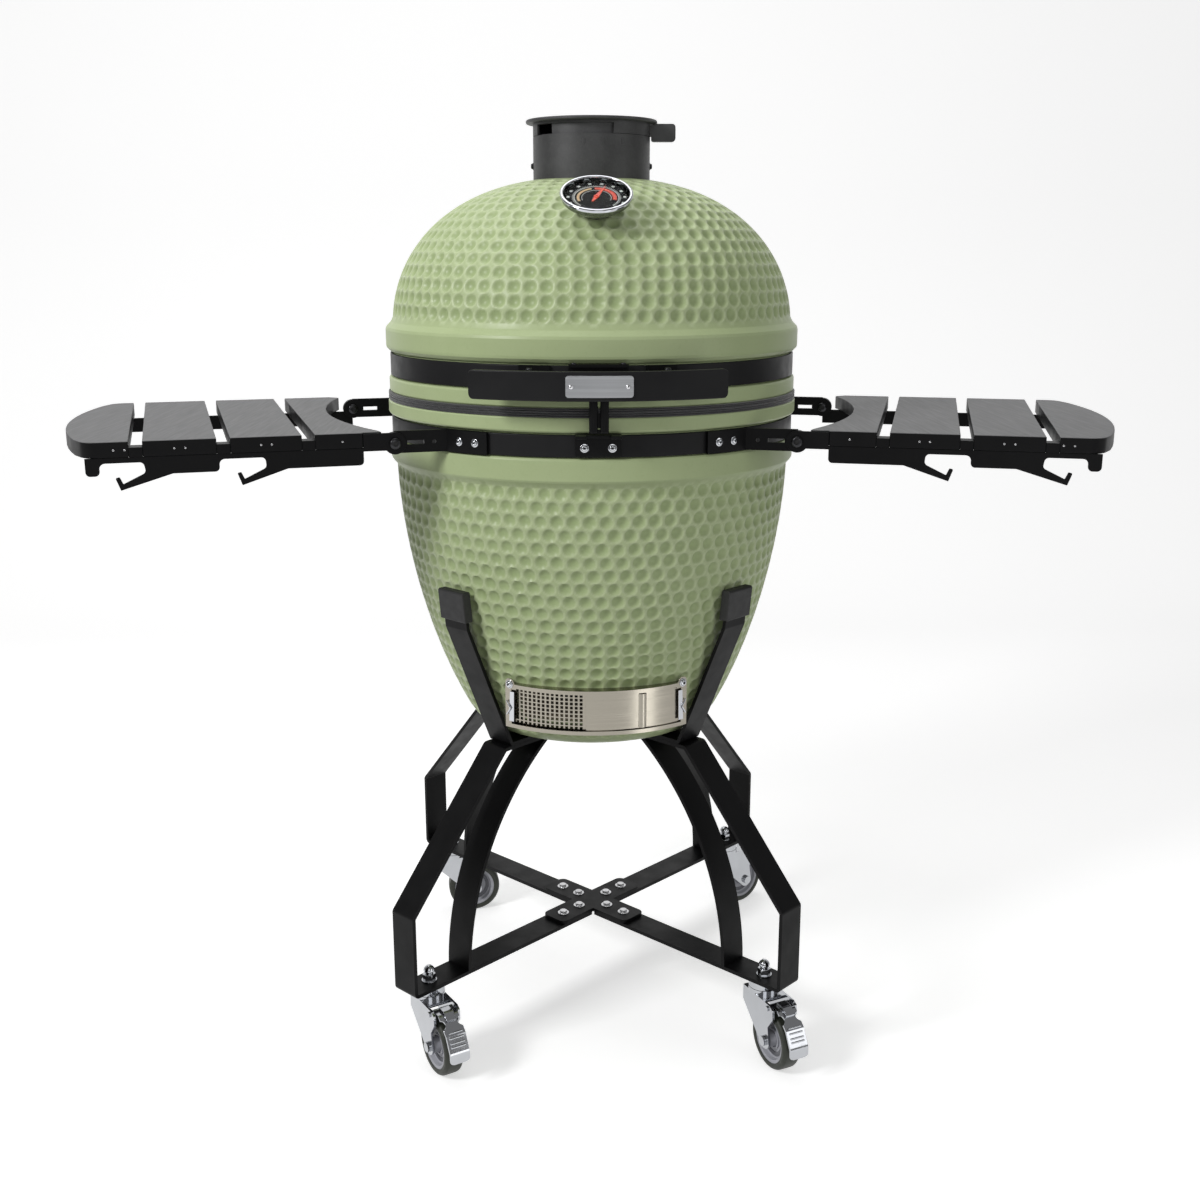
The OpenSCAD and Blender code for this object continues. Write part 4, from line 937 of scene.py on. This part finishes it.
door = Piece()
door.add(arc_plate(175.2, 176.7, -4.5, 37.5, 446.0, 499.0, 48), STEEL, VENT, bevel=0.3)
fold = [(176.4, 16.9), (178.2, 17.3), (179.3, 18.0), (179.6, 18.8), (179.2, 19.6), (178.0, 20.2),
        (176.4, 20.5)]
rib = [(r * math.sin(math.radians(a)), -r * math.cos(math.radians(a))) for r, a in fold]
door.add(prism(rib, 450.5, 494.5), STEEL, VENT, bevel=0.3)
door.finish("draft_door_sheet", BODY_OF["draft_door"], SLOT_OF["draft_door"], "draft_door", sharp=40)
rework("ash_screen", STEEL, 0)


# ---- Chimney ----

rework("chimney_collar", IRON, 0.7)
rework("vent_cap", IRON, 0.9, 3)
tab = rounded([(73.2, 1167.2), (75.8, 1167.2), (75.8, 1160.9), (106.1, 1160.9), (106.1, 1181), (73.2, 1181)],
              [0.5, 0.2, 4, 4, 5, 1], 5)
Piece().add(prism(tab, -6.15, 6.15, "xz"), IRON, bevel=0.6).finish(
    "cap_tab", BODY_OF["vent_cap"], SLOT_OF["vent_cap"], sharp=40)
nubs = Piece()
for a, w in ((-99, 1.6), (-81, 1.6), (-60, 2.4)):
    mark = rounded(box_outline(-w, 1153.5, w, 1160.5), 0.9, 3)
    nubs.add(prism(mark, -74.6, -73.4, "xz"), IRON, turn(a + 90), bevel=0.3)
nubs.finish("cast_marks", BODY_OF["chimney_collar"], SLOT_OF["chimney_collar"], sharp=40)


# ---- Casters ----

CASTER_OUT = 307
LEG = {"fl": 225, "fr": 315, "rl": 135, "rr": 45}
TRAIL = {"fl": -60, "fr": -66, "rl": 8, "rr": 37}


def ribbon(path, half_widths, t):
    """A bent plate: path is its outer line in x and z, and t its thickness."""
    verts, faces = [], []
    for i, (p, w) in enumerate(zip(path, half_widths)):
        d = Vector(path[min(i + 1, len(path) - 1)]) - Vector(path[max(i - 1, 0)])
        d.normalize()
        for y, k in ((-w, 0), (w, 0), (w, t), (-w, t)):
            verts.append((p[0] + d.y * k, y, p[1] - d.x * k))
    for i in range(len(path) - 1):
        for k in range(4):
            a, b = i * 4 + k, i * 4 + (k + 1) % 4
            faces.append((a, b, b + 4, a + 4))
    n = (len(path) - 1) * 4
    faces += [(0, 1, 2, 3), (n, n + 1, n + 2, n + 3)]
    return verts, faces


PEDAL_STEP = 1.6
PEDAL_HALF = 13.6
PEDAL_RIB_HALF = 9.5
WAIST_START, WAIST_LENGTH, WAIST_DEPTH = 24, 12, 5.2
TIP_R = 5


def pedal(place):
    """A foot plate that narrows to a waist, with ribs across it, a top tab and a pivot barrel."""
    piece = Piece()
    bends = [(36, 92.2), (54, 91.2), (75, 73), (86, 52), (87, 38.5)]
    path = resample(rounded(bends, 9, 6, closed=False), PEDAL_STEP)
    total = PEDAL_STEP * (len(path) - 1)
    widths = []
    for i in range(len(path)):
        d = PEDAL_STEP * i
        w = PEDAL_HALF
        if WAIST_START < d < WAIST_START + WAIST_LENGTH:
            w = PEDAL_HALF - WAIST_DEPTH * math.sin(math.pi * (d - WAIST_START) / WAIST_LENGTH) ** 0.5
        if total - d < TIP_R:
            w = PEDAL_HALF - TIP_R + math.sqrt(max(0.0, TIP_R ** 2 - (TIP_R - (total - d)) ** 2))
        widths.append(w)
    path = [tuple(p) for p in path]
    piece.add(ribbon(path, widths, 2.6), CHROME, place, bevel=0.5)
    for d in (44, 50, 56, 62):
        i = int(d / PEDAL_STEP)
        (x0, z0), (x1, z1) = path[i], path[i + 1]
        n = Vector((z0 - z1, x1 - x0)).normalized() * 0.5
        ends = [(x0 + n.x, y, z0 + n.y) for y in (-PEDAL_RIB_HALF, PEDAL_RIB_HALF)]
        piece.add(tube(ends, 1.1, 10), CHROME, place)
    tab = resample(rounded([(41, 95.6), (54, 95.4), (64.5, 87.5)], 6, 5, closed=False), PEDAL_STEP)
    piece.add(ribbon([tuple(p) for p in tab], [6.5] * len(tab), 3.6), CHROME, place, bevel=0.5)
    piece.add(tube([(38, -PEDAL_HALF, 88), (38, PEDAL_HALF, 88)], 4.4, 20), CHROME, place)
    return piece


def caster_place(c):
    return turn(LEG[c]) @ at(CASTER_OUT, 0, 0) @ turn(TRAIL[c] - LEG[c])


for c in ("fl", "fr", "rl", "rr"):
    place = caster_place(c)
    wheel = place @ at(33, 0, 40) @ turn(90, "X")
    rework(f"caster_{c}_fork", CHROME, 0.6)
    tyre = [(31, 12.2)] + arc(34, 7, 6, 82, 12, 7) + [(40, 5), (40, -5)] + arc(34, -7, 6, -12, -82, 7)
    tyre.append((31, -12.2))
    node = f"caster_{c}_tyre"
    tyre_piece = Piece().add(revolve(tyre, 96), TYRE, wheel)
    tyre_piece.finish(f"tyre_{c}", BODY_OF[node], SLOT_OF[node], node, sharp=60)
    node = f"caster_{c}_hub"
    hub = Piece()
    half = [(4.2, 14.6), (8.2, 14.9), (9.3, 14.0), (10.2, 5.4), (12, 4.2), (24.4, 4.2), (26.0, 5.4),
            (27.0, 10.6), (28.0, 11.3), (31.0, 11.3)]
    hub.add(revolve(half + [(r, -z) for r, z in reversed(half)], 72), HUB, wheel)
    for s in (-1, 1):
        for r0, r1, face, mat in ((18.0, 23.4, 5.0, HUB_DARK), (11.6, 14.0, 6.2, HUB)):
            ring = [(r0, s * 4.0), (r0, s * face), (r1, s * face), (r1, s * 4.0)]
            hub.add(revolve(ring, 64), mat, wheel)
    hub.finish(f"hub_{c}", BODY_OF[node], SLOT_OF[node], node, sharp=40)
for c in ("fl", "fr"):
    place = caster_place(c)
    node = f"caster_{c}_pedal"
    pedal(place).finish(f"brake_pedal_{c}", BODY_OF[node], SLOT_OF[node], node, sharp=40)
rework("caster_stems", CHROME, 0.6)


# ---- Parts that keep the CAD shape ----

for node, bevel in (("handle_brackets", 0.8), ("latch_keeper", 0.7),
                    ("hinge_base", 0.8), ("hinge_lid", 0.8), ("shelf_mounts", 0.8),
                    ("stand_leg_fl", 0.9), ("stand_leg_fr", 0.9), ("stand_leg_rl", 0.9),
                    ("stand_leg_rr", 0.9), ("cradle_arms", 0.9), ("cross_plate", 0.9)):
    rework(node, BLACK, bevel)
rework("cradle_pads", PAD, 1.2, 3)
rework("fire_box", RAW, 1.5, 3)
rework("fire_ring", RAW, 1.5, 3)
rework("charcoal_grate", GRATE, 0.8)
rework("cooking_grate", WIRE, 0.6)
rework("hinge_pin", ZINC, 0.8)
rework("thermometer_probe", STEEL, 0.5)
rework("stand_bolts", ZINC, 0.6)


# ---- Springs ----

HINGE_Y, HINGE_Z = 298, 850
SPRING_TURNS, SPRING_R, SPRING_HALF, SPRING_WIRE_R = 8, 9.0, 12.2, 1.45
POINTS_PER_TURN = 18


def spring(x):
    count = SPRING_TURNS * POINTS_PER_TURN
    path = []
    for i in range(count + 1):
        a = 2 * math.pi * i / POINTS_PER_TURN
        path.append((x + SPRING_HALF * (2 * i / count - 1), HINGE_Y + SPRING_R * math.cos(a),
                     HINGE_Z + SPRING_R * math.sin(a)))
    return tube(path, SPRING_WIRE_R, 8)


springs = Piece()
for x in (-16, 16):
    springs.add(spring(x), SPRING)
springs.finish("hinge_coils", "stand", "spring_steel", "hinge_springs", sharp=70)


# ---- Stage, light, camera ----

FLOOR_FRONT, FLOOR_BACK, FLOOR_HALF = -4.0, 1.9, 6.0
BEND_R, WALL_TOP = 1.2, 5.0


def stage():
    """A floor that curves up into a back wall. Diffuse light ignores it, so it stays white
    without lighting the bowl from below."""
    path = [(FLOOR_FRONT, 0.0), (FLOOR_BACK, 0.0)]
    path += [(FLOOR_BACK + BEND_R * math.sin(math.radians(a)), BEND_R - BEND_R * math.cos(math.radians(a)))
             for a in range(6, 91, 6)]
    path.append((FLOOR_BACK + BEND_R, WALL_TOP))
    verts = [(x, y, z) for y, z in path for x in (-FLOOR_HALF, FLOOR_HALF)]
    faces = [(2 * i, 2 * i + 1, 2 * i + 3, 2 * i + 2) for i in range(len(path) - 1)]
    me = bpy.data.meshes.new("studio_floor")
    me.from_pydata(verts, [], faces)
    me.polygons.foreach_set("use_smooth", [True] * len(faces))
    g = Graph("studio_white")
    g.set(roughness=0.9, emission_color=(1, 1, 1, 1), emission_strength=0.5)
    g.color(g.ramp(g.noise(1.5), [(0.3, (0.86, 0.86, 0.86)), (0.7, (0.87, 0.87, 0.87))]))
    me.materials.append(g.mat)
    ob = bpy.data.objects.new("studio_floor", me)
    bpy.context.scene.collection.objects.link(ob)
    ob.visible_diffuse = False


def lamp(name, place, aim, size, power):
    data = bpy.data.lights.new(name, "AREA")
    data.energy = power
    data.size = size
    ob = bpy.data.objects.new(name, data)
    ob.location = place
    ob.rotation_mode = "QUATERNION"
    ob.rotation_quaternion = (Vector(aim) - Vector(place)).to_track_quat("-Z", "Y")
    bpy.context.scene.collection.objects.link(ob)


stage()
lamp("key_left", (-2.6, -1.9, 2.6), (0, 0, 0.8), 0.9, 72)
lamp("fill_right", (2.8, -1.6, 1.4), (0, 0, 0.7), 1.2, 8)
lamp("overhead", (-0.3, 0.4, 3.2), (0, 0, 0.6), 1.8, 26)
lamp("low_right", (0.75, -0.95, 0.2), (0.05, -0.2, 0.46), 0.35, 0.8)
lamp("front_soft", (0.3, -3.6, 1.7), (0, 0, 0.6), 1.4, 12)

world = bpy.data.worlds.new("studio_air")
world.use_nodes = True
backdrop = world.node_tree.nodes["Background"]
backdrop.inputs["Color"].default_value = (1, 1, 1, 1)
backdrop.inputs["Strength"].default_value = 0.26
bpy.context.scene.world = world
bpy.context.scene.view_settings.view_transform = "Standard"

AZIMUTH, DISTANCE, CAMERA_Z, PITCH, YAW = 1.6, 1.8695, 1.028, 13.97, 0.33
SENSOR = 36.0
FOCAL_PER_FRAME = 1407 / 1200
camera = bpy.data.cameras.new("camera")
camera.sensor_width = SENSOR
camera.lens = SENSOR * FOCAL_PER_FRAME
cam = bpy.data.objects.new("camera", camera)
cam.location = (-DISTANCE * math.sin(math.radians(AZIMUTH)),
                -DISTANCE * math.cos(math.radians(AZIMUTH)), CAMERA_Z)
cam.rotation_euler = (math.radians(90 - PITCH), 0, math.radians(-AZIMUTH - YAW))
bpy.context.scene.collection.objects.link(cam)
bpy.context.scene.camera = cam
